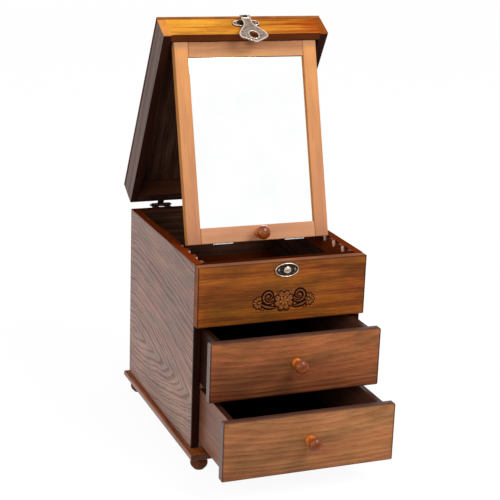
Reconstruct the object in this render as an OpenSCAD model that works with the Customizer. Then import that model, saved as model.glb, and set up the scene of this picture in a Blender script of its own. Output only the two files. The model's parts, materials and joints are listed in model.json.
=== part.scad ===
// Wooden vanity box: a lidded top compartment with a fold-out mirror over two drawers.
// Shown as it stands in use: the lid leans back part way, the mirror frame stands on its
// foot by the notched racks, and both drawers are pulled out a little.
// Each piece is drawn closed, in box coordinates: X to the right from the middle,
// Y to the back from the face of the front board, Z up from the rim of the box.

/* [Box] */
// Outside width of the box
box_w = 260; // [220:1:320]
// Depth from the face of the front board to the back
box_d = 332; // [300:1:400]
// Thickness of the side boards
side_t = 12; // [9:0.5:15]
// Thickness of the back board
back_t = 10; // [6:0.5:14]
// Thickness of the carved front board
front_t = 13; // [10:0.5:16]
// Height of the carved front board
front_h = 90.4; // [88:0.2:110]
// Thickness of the compartment wall behind the front board
lining_t = 10; // [6:0.5:14]
// Thickness of the compartment floor
floor_t = 5; // [3:0.5:6]
// Thickness of the divider between the drawers
divider_t = 8; // [6:0.5:9]
// Radius of the eased edges of the boards
ease_r = 1.6; // [0.8:0.1:2.5]

/* [Base] */
// Thickness of the plinth board
plinth_t = 10; // [8:0.5:14]
// How far the plinth stands out at each side
plinth_side = 7.3; // [3:0.1:12]
// How far the plinth stands out at the front
plinth_front = 10.8; // [4:0.1:16]
// How far the plinth stands out at the back
plinth_back = 5.9; // [2:0.1:10]
// Radius of the rounded edge of the plinth
plinth_r = 3.2; // [1:0.1:3.8]
// Height of the turned feet
foot_h = 22; // [14:0.5:30]
// Widest diameter of the turned feet
foot_d = 26; // [18:0.5:32]

/* [Drawers] */
// Height of a drawer front
drawer_h = 88.2; // [70:0.2:110]
// Thickness of a drawer front
drawer_front_t = 12.5; // [9:0.1:12.7]
// Radius of the rounded edges of a drawer front
drawer_r = 3; // [1.5:0.1:4]
// Thickness of the drawer sides and back
drawer_wall_t = 8; // [5:0.5:10]
// Thickness of the drawer bottoms
drawer_bottom_t = 4; // [3:0.5:5]
// Height of a drawer bottom above the lower edge of its sides
drawer_bottom_up = 6; // [4:0.5:10]
// Depth of the grooves that hold a drawer bottom
groove_d = 3; // [1.5:0.5:4]
// Gap between the front board and the upper drawer front
upper_gap = 2; // [1:0.1:4]
// Gap between the two drawer fronts
middle_gap = 4.6; // [2:0.1:5.5]
// Gap between the lower drawer front and the plinth
lower_gap = 5.8; // [2:0.1:8]
// How far the box of a drawer stays under the top of its front
drawer_drop = 2.5; // [2.5:0.1:6]
// Room at each side of a drawer
drawer_side_gap = 0.5; // [0.3:0.1:1]
// Room under a drawer
drawer_run_gap = 0.4; // [0.3:0.1:1]
// Room behind a closed drawer
drawer_back_gap = 6; // [3:0.5:20]
// How far the upper drawer is pulled out
upper_out = 59.5; // [0:0.5:200]
// How far the lower drawer is pulled out
lower_out = 118.7; // [0:0.5:200]

/* [Knobs] */
// Diameter of a knob's head
knob_d = 21; // [16:0.5:26]
// Length of a knob from the board that it stands on
knob_l = 26; // [20:0.5:32]
// Diameter of the screws that hold the knobs
knob_screw_d = 4; // [3:0.1:5]
// Height of the drawer knobs above the middle of the fronts
drawer_knob_up = 4; // [-6:0.5:8]

/* [Lid] */
// Height of the closed lid over the rim
lid_h = 45; // [36:0.5:60]
// Thickness of the lid's top board
lid_top_t = 8; // [5:0.5:10]
// Thickness of the lid's side, front and back walls
lid_wall_t = 12; // [9:0.5:14]
// Gap between the closed lid and the rim of the box
lid_gap = 0.3; // [0.2:0.1:0.8]
// Angle of the lid from closed
lid_angle = 60.8; // [50:0.2:90]

/* [Mirror] */
// Length of the mirror frame from its hinges to its foot
mirror_l = 297; // [260:0.5:300]
// Width of the stiles of the mirror frame
mirror_stile_w = 21.5; // [18:0.5:30]
// Width of the rails of the mirror frame
mirror_rail_w = 23.5; // [18:0.5:30]
// Thickness of the mirror frame
mirror_t = 13; // [10:0.5:16]
// How far the folded mirror frame sits inside the rim of the lid
mirror_inset = 1.5; // [1:0.1:4]
// Angle of the mirror frame from the lid
mirror_angle = 45.6; // [30:0.2:60]
// Width of the lip that holds the glass
mirror_lip = 6; // [4:0.5:8]
// Thickness of the lip that holds the glass
mirror_lip_t = 4.5; // [3:0.5:6]
// Thickness of the glass
glass_t = 3; // [2:0.5:4]
// Thickness of the board behind the glass
backing_t = 3; // [2:0.5:4]

/* [Racks] */
// Thickness of the notched racks
rack_t = 5; // [4.5:0.1:9]
// Height of the notched racks
rack_h = 26; // [16:0.5:40]
// Distance from the face of the front board to the back end of a rack
rack_end = 225; // [180:1:280]
// Length of the curved run-in at the back end of a rack
rack_runin = 52; // [20:1:80]
// Distance from one notch to the next
notch_pitch = 32; // [24:0.5:36]
// Depth of a notch
notch_depth = 9; // [6:0.5:12]
// Length of a notch at the rim
notch_l = 20; // [12:0.5:24]
// Room between the mirror frame and each rack
foot_gap = 0.4; // [0.3:0.1:1]

/* [Metalwork] */
// Width of a back hinge
hinge_w = 31; // [24:0.5:40]
// Distance of each back hinge from the middle of the box
hinge_x = 77; // [50:0.5:90]
// Distance of the back hinge pins behind the box
hinge_back = 10; // [6:0.5:14]
// Height of the back hinge pins above the rim
hinge_up = 1.5; // [0.5:0.1:3]
// Radius of the knuckles of a back hinge
knuckle_r = 3; // [2.5:0.1:4]
// Height of a back hinge leaf on its board
leaf_h = 20; // [14:0.5:26]
// Thickness of the sheet metal
sheet_t = 1.5; // [1:0.1:2]
// Distance of the latch from the middle of the box
latch_x = 4; // [-10:0.5:10]
// Height of the catch knob under the rim
catch_down = 13; // [12:0.5:16]
// Width of the plate under the catch knob
catch_w = 37; // [30:0.5:44]
// Height of the plate under the catch knob
catch_h = 21.5; // [18:0.5:24]
// Diameter of the catch knob
catch_knob_d = 11; // [8:0.5:12]
// Length of the catch knob from the front board
catch_knob_l = 5.4; // [4:0.1:5.8]
// Width of the hasp plate on the lid
hasp_plate_w = 43; // [30:0.5:50]
// Height of the hasp plate on the lid
hasp_plate_h = 17; // [14:0.5:20]
// Width of the swinging hasp
hasp_w = 45; // [34:0.5:50]
// Width of the neck of the hasp
hasp_neck_w = 13.6; // [12:0.2:16]
// Height of the hasp's hinge over the rim of the lid
hasp_up = 34; // [30:0.5:36]
// How far the hasp stands off the lid
hasp_off = 6; // [5.8:0.1:8]
// Slope of the lower edges of the hasp
hasp_slope = 31.5; // [20:0.5:40]
// Length of the slot in the hasp
hasp_slot_l = 16; // [14:0.5:18]
// Width of the slot in the hasp
hasp_slot_w = 12.4; // [11.6:0.1:14]

/* [Hidden] */
$fn = 48;

// Small distance by which cutters pass through what they cut
eps = 1;
// Heights of the stack under the rim
box_h = front_h + upper_gap + drawer_h + middle_gap + drawer_h + lower_gap;
upper_z = -front_h - upper_gap - drawer_h;
lower_z = upper_z - middle_gap - drawer_h;
divider_z = upper_z - middle_gap / 2 - divider_t / 2;
front_lap = divider_z + divider_t - upper_z;
bottom_t = lower_gap + front_lap;
floor_lift = 1.4;
floor_z = -front_h - upper_gap + floor_lift;
tray_depth = -floor_z - floor_t;
rim_z = box_h + plinth_t + foot_h;
// Inside of the carcass
inner_w = box_w - 2 * side_t;
inner_back_y = box_d - back_t;
// Drawer boxes, from the lower edge of their fronts
drawer_box_z = front_lap + drawer_run_gap;
drawer_box_h = drawer_h - drawer_drop - drawer_box_z;
drawer_box_w = inner_w - 2 * drawer_side_gap;
drawer_box_end = inner_back_y - drawer_back_gap;
drawer_inner_w = drawer_box_w - 2 * drawer_wall_t;
groove_clear = 0.05;
// Turned knobs and feet, as shares of their diameters and lengths
knob_base_r = 0.36;
knob_base_l = 0.08;
knob_neck_r = 0.27;
knob_neck_l = 0.55;
knob_wide_from = 0.5;
knob_wide_at = 0.72;
foot_collar_r = 0.4;
foot_pad_r = 0.3;
foot_bulge_r = 0.42;
foot_collar_h = 3;
foot_inset = 1;
// Screws that hold the knobs
knob_screw_clear = 0.3;
knob_bore_clear = 0.02;
knob_screw_bite = 12;
knob_bore_spare = 0.5;
screw_head_t = 2.2;
screw_head_r1 = 0.85;
screw_head_r2 = 1.05;
// Pin of the back hinges
pin_y = box_d + hinge_back;
pin_z = hinge_up;
pin_r = 1.2;
pin_clear = 0.04;
pin_ball_r = 1.35 * pin_r;
knuckle_gap = 0.3;
knuckle_l = hinge_w / 3;
// Inside of the closed lid
lid_r = 2;
lid_inner_w = box_w - 2 * lid_wall_t;
lid_inner_back = box_d - lid_wall_t;
lid_inner_top = lid_gap + lid_h - lid_top_t;
// Mirror frame, folded into the closed lid
rack_inner_x = box_w / 2 - side_t - rack_t;
mirror_w = 2 * (rack_inner_x - foot_gap);
mleaf_t = 1.1;
mleaf_gap = 0.4;
mleaf_h = 10;
mleaf_w = 30;
mhinge_x = 57;
mknuckle_r = 2.1;
mknuckle_up = 0.5;
mpin_r = 0.9;
mknuckle_clear = 0.3;
mseat_clear = 0.35;
mseat_end = 0.6;
mirror_y = lid_wall_t + 2 * mleaf_t + mleaf_gap;
mirror_z = lid_gap + mirror_inset;
mpin_y = lid_wall_t + mleaf_t + mleaf_gap / 2;
mpin_z = lid_gap + mknuckle_r + mknuckle_up;
mirror_open_w = mirror_w - 2 * mirror_stile_w;
mirror_open_l = mirror_l - 2 * mirror_rail_w;
mirror_r = 1.4;
glass_gap = 0.5;
keeper_w = 31;
keeper_h = 9;
keeper_x = 57;
keeper_up = 1.5;
// Place of the propped foot's front edge, found from the two hinges
prop_angle = lid_angle + mirror_angle;
mpin_rest_y = pin_y + (mpin_y - pin_y) * cos(lid_angle) + (mpin_z - pin_z) * sin(lid_angle);
foot_dy = mirror_y + mirror_l - mpin_y;
foot_dz = mirror_z - mpin_z;
foot_rest_y = mpin_rest_y + foot_dy * cos(prop_angle) + foot_dz * sin(prop_angle);
notch_first = foot_rest_y - 1;
// Racks: thin end of the run-in, and the round bottom of a notch as a share of its depth
rack_tip_t = 0.6;
rack_steps = 8;
notch_round = 0.45;
notch_back = 1.35;
// Latch
blunt_r = 0.36;
catch_rim = 1.2;
catch_rim_t = 0.6;
catch_stem = 0.5;
catch_head_up = 0.9;
catch_head_t = 0.9;
hasp_sheet_t = 1.6;
hasp_hinge_y = -hasp_off - hasp_sheet_t / 2;
hasp_hinge_z = lid_gap + hasp_up;
hasp_knuckle_r = 2.2;
hasp_knuckle_w = 6;
hasp_knuckle_gap = 0.4;
hasp_hinge_w = 16;
hasp_ear_w = (hasp_hinge_w - hasp_knuckle_w) / 2 - hasp_knuckle_gap;
hasp_ear_x = (hasp_hinge_w - hasp_ear_w) / 2;
hasp_pin_l = hasp_hinge_w + 1.2;
hasp_plate_down = 9.4;
hasp_tab_w = 10;
hasp_hole_up = 1.5;
hasp_neck_down = 14;
hasp_round = 7;
hasp_tip_r = 3;
hasp_wide_down = 0.5;
hasp_steps = 8;
hasp_hole_z = -catch_down + hasp_hole_up;
hasp_wide_z = hasp_hole_z - hasp_wide_down;
// Middle of the footprint of the whole shape
front_reach = -lower_out - knob_l;
back_reach = pin_y + (box_d - lid_r - pin_y) * cos(lid_angle)
    + (lid_gap + lid_h - lid_r - pin_z) * sin(lid_angle) + lid_r;
mid_y = (front_reach + back_reach) / 2;

// Puts a piece drawn in box coordinates on the floor plane, with the footprint centred
module placed() translate([0, -mid_y, rim_z]) children();

// Swings pieces drawn on the closed lid to the angle at which the lid stands
module on_lid() placed() translate([0, pin_y, pin_z]) rotate([-lid_angle, 0, 0])
    translate([0, -pin_y, -pin_z]) children();

// Swings pieces drawn on the folded mirror frame out of the lid
module on_mirror() on_lid() translate([0, mpin_y, mpin_z]) rotate([-mirror_angle, 0, 0])
    translate([0, -mpin_y, -mpin_z]) children();

// Rectangle with round corners, from its lower left corner
module round_rect(w, h, r) {
    translate([r, 0]) square([w - 2 * r, h]);
    translate([0, r]) square([w, h - 2 * r]);
    for (x = [r, w - r], y = [r, h - r])
        translate([x, y]) circle(r);
}

// Profile drawn in Y and Z, extruded along X and centred
module along_x(w) rotate([90, 0, 90]) linear_extrude(w, center = true) children();

// Profile drawn in X and Z, extruded along Y from zero to the back
module along_y(l) translate([0, l, 0]) rotate([90, 0, 0]) linear_extrude(l) children();

// Board with eased edges, centred in X, from its lower front edge
module board(w, d, h, r = ease_r) intersection() {
    along_x(w) round_rect(d, h, r);
    along_y(d) translate([-w / 2, 0]) round_rect(w, h, r);
}

// Upright board whose four long edges are eased, centred in X
module upright(w, d, h, r = ease_r) linear_extrude(h) translate([-w / 2, 0]) round_rect(w, d, r);

// Turned knob standing on the plane Z = 0 and growing up
module knob_solid(d, l) difference() {
    rotate_extrude() {
        square([d * knob_neck_r, l * knob_neck_l]);
        square([d * knob_base_r, l * knob_base_l]);
        translate([0, l * knob_base_l]) intersection() {
            scale([1, 0.5]) circle(d * knob_base_r);
            square([d, l]);
        }
        translate([0, l * knob_wide_from]) intersection() {
            square([d, l * (knob_wide_at - knob_wide_from)]);
            translate([0, l * (knob_wide_at - knob_wide_from)]) scale([1, 0.55]) circle(d / 2);
        }
        translate([0, l * knob_wide_at]) intersection() {
            square([d, l * (1 - knob_wide_at)]);
            scale([1, l * (1 - knob_wide_at) / (d / 2)]) circle(d / 2);
        }
    }
    translate([0, 0, -eps])
        cylinder(h = knob_screw_bite + eps + knob_bore_spare, d = knob_screw_d + 2 * knob_bore_clear);
}

// Screw through a board into a knob: Z = 0 is the face that carries the knob
module knob_screw_solid(board_t) {
    translate([0, 0, -board_t]) cylinder(h = board_t + knob_screw_bite, d = knob_screw_d);
    translate([0, 0, -board_t - screw_head_t])
        cylinder(h = screw_head_t, r1 = knob_screw_d * screw_head_r1, r2 = knob_screw_d * screw_head_r2);
}

// Carcass

module plinth() color("#6b4028") placed()
    translate([0, -plinth_front, -box_h - plinth_t])
    board(box_w + 2 * plinth_side, box_d + plinth_front + plinth_back, plinth_t, plinth_r);

module bun_foot() rotate_extrude() {
    translate([0, foot_h - foot_collar_h]) square([foot_d * foot_collar_r, foot_collar_h]);
    square([foot_d * foot_pad_r, foot_h - foot_collar_h + eps]);
    intersection() {
        translate([foot_d / 2 - foot_h * foot_bulge_r, foot_h * 0.44])
            scale([1, 1.04]) circle(foot_h * foot_bulge_r);
        square([foot_d, foot_h - foot_collar_h]);
    }
}

module feet() color("#5a331f") placed()
    for (x = [-1, 1], y = [foot_d / 2 - foot_inset, box_d - foot_d / 2 + foot_inset])
        translate([x * (box_w / 2 - foot_d / 2), y, -rim_z]) bun_foot();

module side_board(s) placed()
    translate([s * (box_w - side_t) / 2, front_t, -box_h]) upright(side_t, box_d - front_t, box_h);

module side_left() color("#8d7b74") side_board(-1);

module side_right() color("#8d7b74") side_board(1);

module back_board() color("#7a5a48") placed()
    translate([-inner_w / 2, inner_back_y, -box_h]) cube([inner_w, back_t, box_h]);

module bottom_board() color("#5c3a28") placed()
    translate([-inner_w / 2, front_t, -box_h]) cube([inner_w, inner_back_y - front_t, bottom_t]);

module drawer_divider() color("#5c3a28") placed()
    translate([-inner_w / 2, front_t, divider_z]) cube([inner_w, inner_back_y - front_t, divider_t]);

module compartment_floor() color("#3a241c") placed()
    translate([-inner_w / 2, front_t, floor_z]) cube([inner_w, inner_back_y - front_t, floor_t]);

module compartment_lining() color("#6b3a20") placed()
    translate([-inner_w / 2, front_t, -tray_depth]) cube([inner_w, lining_t, tray_depth]);

module front_board() color("#8a5228") placed()
    translate([0, 0, -front_h]) board(box_w, front_t, front_h);

// Racks with the notches that take the foot of the mirror frame

// Side view of one notch: a round bottom near its back wall and a long slope to the front
function notch_outline(l, d) = let (r = d * notch_round, cy = l - r * notch_back, cz = -d + r) concat(
    [[0, eps], [0, 0]],
    [for (a = [200:15:345]) [cy + r * cos(a), cz + r * sin(a)]],
    [[l, 0], [l, eps]]);

// Plan of a rack: a curved run-in, an even strip and a cove at the front wall
function rack_plan(y0, y1) = let (cove = rack_t) concat(
    [[0, y1], [0, y0], [rack_t + cove, y0]],
    [for (a = [15:15:90]) [rack_t + cove - cove * sin(a), y0 + cove - cove * cos(a)]],
    [for (i = [0:rack_steps]) let (t = i / rack_steps, part = (1 + cos(180 * t)) / 2)
        [rack_tip_t + (rack_t - rack_tip_t) * part, y1 - rack_runin + rack_runin * t]]);

module rack() difference() {
    translate([0, 0, -rack_h]) linear_extrude(rack_h) polygon(rack_plan(front_t + lining_t, rack_end));
    for (i = [0:2])
        translate([rack_t / 2, notch_first - i * notch_pitch, 0])
            along_x(rack_t + 2 * eps) polygon(notch_outline(notch_l, notch_depth));
}

module rack_left() color("#7d451f") placed() translate([-inner_w / 2, 0, 0]) rack();

module rack_right() color("#7d451f") placed() mirror([1, 0, 0]) translate([-inner_w / 2, 0, 0]) rack();

// Latch on the front board

// Oval plate with blunt ends, standing out to the front from Y = 0
module oval_plate(w, h, t) rotate([90, 0, 0]) linear_extrude(t) {
    scale([1, h / w]) circle(w / 2);
    for (s = [-1, 1]) translate([s * (w / 2 - h * blunt_r), 0]) circle(h * blunt_r);
}

module at_catch() placed() translate([latch_x, 0, -catch_down]) rotate([90, 0, 0]) children();

module catch_plate() color("#a8a49a") difference() {
    union() {
        placed() translate([latch_x, 0, -catch_down]) oval_plate(catch_w, catch_h, sheet_t);
        at_catch() cylinder(h = sheet_t + catch_rim_t, d = catch_knob_d + 2 * catch_rim);
    }
    at_catch()
        cylinder(h = 2 * (sheet_t + eps), d = catch_knob_d * catch_stem + 2 * pin_clear, center = true);
}

module catch_knob() color("#b8b2a2") at_catch() {
    cylinder(h = sheet_t + catch_head_up + eps / 2, d = catch_knob_d * catch_stem);
    translate([0, 0, sheet_t + catch_head_up]) cylinder(h = catch_head_t, d = catch_knob_d);
    translate([0, 0, sheet_t + catch_head_up + catch_head_t])
        scale([1, 1, (catch_knob_l - sheet_t - catch_head_up - catch_head_t) / (catch_knob_d / 2)])
        intersection() {
            sphere(d = catch_knob_d);
            translate([-catch_knob_d, -catch_knob_d, 0]) cube(2 * catch_knob_d);
        }
}

// Back hinges: cranked leaves on the back of the box and of the lid, turning on a pin

// Leaf with its knuckles: arm_z is the height of the arm, up is 1 for the lid and -1 for the box
module back_leaf(up, segments) {
    arm_z = pin_z + up * (knuckle_r - sheet_t);
    translate([-hinge_w / 2, box_d, up > 0 ? arm_z : arm_z - leaf_h]) cube([hinge_w, sheet_t, leaf_h]);
    for (x = segments) {
        lo = x - knuckle_l / 2 + knuckle_gap / 2;
        len = knuckle_l - knuckle_gap;
        difference() {
            union() {
                translate([lo, box_d, up > 0 ? arm_z : arm_z - sheet_t]) cube([len, hinge_back, sheet_t]);
                translate([lo, pin_y, pin_z]) rotate([0, 90, 0]) cylinder(h = len, r = knuckle_r);
            }
            translate([lo - eps, pin_y, pin_z]) rotate([0, 90, 0])
                cylinder(h = len + 2 * eps, r = pin_r + pin_clear);
        }
    }
}

module back_hinge_box_leaves() color("#3a3430") placed()
    for (s = [-1, 1]) translate([s * hinge_x, 0, 0]) back_leaf(-1, [-knuckle_l, knuckle_l]);

module back_hinge_lid_leaves() color("#3a3430") on_lid()
    for (s = [-1, 1]) translate([s * hinge_x, 0, 0]) back_leaf(1, [0]);

// Pins with ball ends that stand clear of the outer knuckles
module back_hinge_pins() color("#6b645c") placed()
    for (s = [-1, 1]) translate([s * hinge_x, pin_y, pin_z]) rotate([0, 90, 0]) {
        cylinder(h = hinge_w + 2 * pin_ball_r, r = pin_r, center = true);
        for (e = [-1, 1]) translate([0, 0, e * (hinge_w / 2 + pin_ball_r)]) sphere(r = pin_ball_r);
    }

// Lid

module lid_top() color("#9a7b66") on_lid()
    translate([0, 0, lid_inner_top]) board(box_w, box_d, lid_top_t, lid_r);

module lid_side(s) on_lid() translate([s * (box_w - lid_wall_t) / 2, 0, lid_gap])
    translate([-lid_wall_t / 2, 0, 0]) cube([lid_wall_t, box_d, lid_h - lid_top_t]);

module lid_left() color("#8d7b74") lid_side(-1);

module lid_right() color("#8d7b74") lid_side(1);

// Seat for a knuckle of the mirror hinges, cut in the wall and in the frame
module mirror_knuckle_seats() for (s = [-1, 1])
    translate([s * mhinge_x, mpin_y, mpin_z]) rotate([0, 90, 0])
        cylinder(h = mleaf_w + 2 * mseat_end, r = mknuckle_r + mseat_clear, center = true);

module lid_front() color("#d98a3a") on_lid() difference() {
    translate([-lid_inner_w / 2, 0, lid_gap]) cube([lid_inner_w, lid_wall_t, lid_h - lid_top_t]);
    mirror_knuckle_seats();
}

module lid_back() color("#7a5a48") on_lid()
    translate([-lid_inner_w / 2, lid_inner_back, lid_gap])
        cube([lid_inner_w, lid_wall_t, lid_h - lid_top_t]);

// Hasp: a plate screwed to the lid and a slotted tongue that swings on a pin

module at_hasp_pin() translate([0, hasp_hinge_y, hasp_hinge_z]) rotate([0, 90, 0]) children();

module hasp_plate() color("#a8a49a") on_lid() translate([latch_x, 0, 0]) {
    translate([0, 0, hasp_hinge_z - hasp_plate_down]) oval_plate(hasp_plate_w, hasp_plate_h, sheet_t);
    translate([-hasp_tab_w / 2, -sheet_t, hasp_hinge_z - hasp_plate_down])
        cube([hasp_tab_w, sheet_t, hasp_plate_down + hasp_knuckle_r]);
    difference() {
        union() {
            translate([-hasp_knuckle_w / 2, hasp_hinge_y, hasp_hinge_z - hasp_knuckle_r])
                cube([hasp_knuckle_w, -hasp_hinge_y, 2 * hasp_knuckle_r]);
            at_hasp_pin() cylinder(h = hasp_knuckle_w, r = hasp_knuckle_r, center = true);
        }
        at_hasp_pin() cylinder(h = hasp_knuckle_w + 2 * eps, r = pin_r + pin_clear, center = true);
    }
}

module hasp_pin() color("#8f897c") on_lid() translate([latch_x, 0, 0])
    at_hasp_pin() cylinder(h = hasp_pin_l, r = pin_r, center = true);

// Right half of the hasp's outline in X and Z, from the hinge down: a straight neck, a flare,
// a round shoulder and a sloping lower edge with a round tip
function hasp_half() = let (
        shoulder_x = hasp_w / 2 - hasp_round,
        neck_z = hasp_hinge_z - hasp_neck_down,
        steep = 90 - hasp_slope,
        edge_z = hasp_wide_z - hasp_round / sin(steep) - shoulder_x / tan(steep),
        tip_z = edge_z + hasp_tip_r / sin(steep)) concat(
    [[hasp_hinge_w / 2, hasp_hinge_z]],
    [for (i = [0:hasp_steps]) let (t = i / hasp_steps)
        [hasp_neck_w / 2 + (hasp_w - hasp_neck_w) / 2 * (1 - cos(180 * t)) / 2,
            neck_z + (hasp_wide_z - neck_z) * t]],
    [for (i = [1:hasp_steps]) let (a = -steep * i / hasp_steps)
        [shoulder_x + hasp_round * cos(a), hasp_wide_z + hasp_round * sin(a)]],
    [for (i = [0:hasp_steps / 2]) let (a = -steep - hasp_slope * i * 2 / hasp_steps)
        [hasp_tip_r * cos(a), tip_z + hasp_tip_r * sin(a)]]);

module hasp() color("#b3aea2") on_lid() translate([latch_x, 0, 0]) difference() {
    union() {
        translate([0, -hasp_off, 0]) rotate([90, 0, 0]) linear_extrude(hasp_sheet_t)
            for (s = [-1, 1]) polygon(concat([[0, hasp_hinge_z]],
                [for (p = hasp_half()) [s * p[0], p[1]]]));
        for (s = [-1, 1]) translate([s * hasp_ear_x, 0, 0])
            at_hasp_pin() cylinder(h = hasp_ear_w, r = hasp_knuckle_r, center = true);
    }
    at_hasp_pin() cylinder(h = hasp_knuckle_w + 2 * hasp_knuckle_gap,
        r = hasp_knuckle_r + hasp_knuckle_gap, center = true);
    translate([0, 0, hasp_hole_z]) rotate([90, 0, 0]) linear_extrude(4 * hasp_off) {
        for (s = [-1, 1]) translate([0, s * (hasp_slot_l - hasp_slot_w) / 2]) circle(d = hasp_slot_w);
        square([hasp_slot_w, hasp_slot_l - hasp_slot_w], center = true);
    }
    at_hasp_pin() cylinder(h = hasp_w, r = pin_r + pin_clear, center = true);
}

// Mirror hinges between the front wall of the lid and the frame

module mirror_leaf(y, segments) {
    translate([-mleaf_w / 2, y, mpin_z]) cube([mleaf_w, mleaf_t, mleaf_h]);
    for (x = segments) translate([x - mleaf_w / 6 + knuckle_gap / 2, mpin_y, mpin_z]) rotate([0, 90, 0])
        cylinder(h = mleaf_w / 3 - knuckle_gap, r = mknuckle_r);
}

// Leaf with the space of the other leaf's knuckles and the pin bore cut away
module mirror_leaf_set(y, segments, others) for (s = [-1, 1]) translate([s * mhinge_x, 0, 0])
    difference() {
        mirror_leaf(y, segments);
        for (x = others) translate([x - mleaf_w / 6 - knuckle_gap / 2, mpin_y, mpin_z]) rotate([0, 90, 0])
            cylinder(h = mleaf_w / 3 + knuckle_gap, r = mknuckle_r + mknuckle_clear);
        translate([0, mpin_y, mpin_z]) rotate([0, 90, 0])
            cylinder(h = 2 * mleaf_w, r = mpin_r + pin_clear, center = true);
    }

module mirror_hinge_lid_leaves() color("#8a8378") on_lid()
    mirror_leaf_set(lid_wall_t, [-mleaf_w / 3, mleaf_w / 3], [0]);

module mirror_hinge_frame_leaves() color("#8a8378") on_mirror()
    mirror_leaf_set(mirror_y - mleaf_t, [0], [-mleaf_w / 3, mleaf_w / 3]);

module mirror_hinge_pins() color("#a09a8e") on_lid() for (s = [-1, 1])
    translate([s * mhinge_x, mpin_y, mpin_z]) rotate([0, 90, 0])
        cylinder(h = mleaf_w, r = mpin_r, center = true);

// Mirror frame: its face looks down when it is folded into the lid

// Bar with the rebate that takes glass and backing, drawn along X with the opening at Y = w
module frame_bar(len, w) difference() {
    board(len, w, mirror_t, mirror_r);
    translate([-len / 2 - eps, w - mirror_lip, mirror_lip_t])
        cube([len + 2 * eps, mirror_lip + eps, mirror_t]);
}

module mirror_stile(s) on_mirror() difference() {
    translate([s * mirror_w / 2, mirror_y + mirror_l / 2, mirror_z])
        rotate([0, 0, s * 90]) frame_bar(mirror_l, mirror_stile_w);
    mirror_knuckle_seats();
}

module mirror_stile_left() color("#d8a070") mirror_stile(-1);

module mirror_stile_right() color("#d8a070") mirror_stile(1);

module mirror_rail_top() color("#d8a070") on_mirror() difference() {
    translate([0, mirror_y, mirror_z]) frame_bar(mirror_open_w, mirror_rail_w);
    mirror_knuckle_seats();
}

module mirror_rail_foot() color("#d8a070") on_mirror() difference() {
    translate([0, mirror_y + mirror_l, mirror_z]) rotate([0, 0, 180])
        frame_bar(mirror_open_w, mirror_rail_w);
    translate([0, mirror_y + mirror_l - mirror_rail_w / 2, mirror_z - eps])
        cylinder(h = mirror_t + 2 * eps, d = knob_screw_d + 2 * knob_screw_clear);
}

// Sheet that fills the rebate of the frame, less a small gap
module mirror_sheet(z, t) on_mirror() translate([0, mirror_y + mirror_l / 2, mirror_z + z + t / 2])
    cube([mirror_open_w + 2 * (mirror_lip - glass_gap), mirror_open_l + 2 * (mirror_lip - glass_gap), t],
        center = true);

module mirror_glass() color("#dfe8ea") mirror_sheet(mirror_lip_t, glass_t);

module mirror_backing() color("#5c3a28") mirror_sheet(mirror_lip_t + glass_t, backing_t);

module at_mirror_knob() on_mirror()
    translate([0, mirror_y + mirror_l - mirror_rail_w / 2, mirror_z]) rotate([180, 0, 0]) children();

module mirror_knob() color("#c08048") at_mirror_knob() knob_solid(knob_d, knob_l);

module mirror_knob_screw() color("#b8b2a2") at_mirror_knob() knob_screw_solid(mirror_t);

module mirror_keepers() color("#b9bcbd") on_mirror() for (s = [-1, 1])
    translate([s * keeper_x - keeper_w / 2, mirror_y + mirror_l, mirror_z + keeper_up])
        cube([keeper_w, sheet_t, keeper_h]);

// Drawers: z is the lower edge of the front, out is how far the drawer is pulled

module in_drawer(z, out) placed() translate([0, -out, z]) children();

module drawer_knob_axis() translate([0, 0, drawer_h / 2 + drawer_knob_up]) rotate([90, 0, 0]) children();

// Bottom panel grown by a clearance, so that it also cuts its own groove
module bottom_panel(clear) {
    lip = groove_d + clear;
    long = drawer_box_end - drawer_front_t - drawer_wall_t;
    translate([-drawer_inner_w / 2 - lip, drawer_front_t - lip, drawer_box_z + drawer_bottom_up - clear])
        cube([drawer_inner_w + 2 * lip, long + 2 * lip, drawer_bottom_t + 2 * clear]);
}

module drawer_front() difference() {
    board(box_w, drawer_front_t, drawer_h, drawer_r);
    bottom_panel(groove_clear);
    drawer_knob_axis() translate([0, 0, -drawer_front_t - eps])
        cylinder(h = drawer_front_t + 2 * eps, d = knob_screw_d + 2 * knob_screw_clear);
}

module drawer_side(s) difference() {
    translate([s * (drawer_box_w - drawer_wall_t) / 2, drawer_front_t, drawer_box_z])
        along_x(drawer_wall_t) square([drawer_box_end - drawer_front_t, drawer_box_h]);
    bottom_panel(groove_clear);
}

module drawer_back() difference() {
    translate([-drawer_inner_w / 2, drawer_box_end - drawer_wall_t, drawer_box_z])
        cube([drawer_inner_w, drawer_wall_t, drawer_box_h]);
    bottom_panel(groove_clear);
}

module upper_drawer_front() color("#93592f") in_drawer(upper_z, upper_out) drawer_front();

module upper_drawer_side_left() color("#6b3d24") in_drawer(upper_z, upper_out) drawer_side(-1);

module upper_drawer_side_right() color("#6b3d24") in_drawer(upper_z, upper_out) drawer_side(1);

module upper_drawer_back() color("#6b3d24") in_drawer(upper_z, upper_out) drawer_back();

module upper_drawer_bottom() color("#2e211d") in_drawer(upper_z, upper_out) bottom_panel(0);

module upper_drawer_knob() color("#b5713c") in_drawer(upper_z, upper_out)
    drawer_knob_axis() knob_solid(knob_d, knob_l);

module upper_drawer_knob_screw() color("#b8b2a2") in_drawer(upper_z, upper_out)
    drawer_knob_axis() knob_screw_solid(drawer_front_t);

module lower_drawer_front() color("#a9683c") in_drawer(lower_z, lower_out) drawer_front();

module lower_drawer_side_left() color("#6b3d24") in_drawer(lower_z, lower_out) drawer_side(-1);

module lower_drawer_side_right() color("#6b3d24") in_drawer(lower_z, lower_out) drawer_side(1);

module lower_drawer_back() color("#6b3d24") in_drawer(lower_z, lower_out) drawer_back();

module lower_drawer_bottom() color("#2e211d") in_drawer(lower_z, lower_out) bottom_panel(0);

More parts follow.
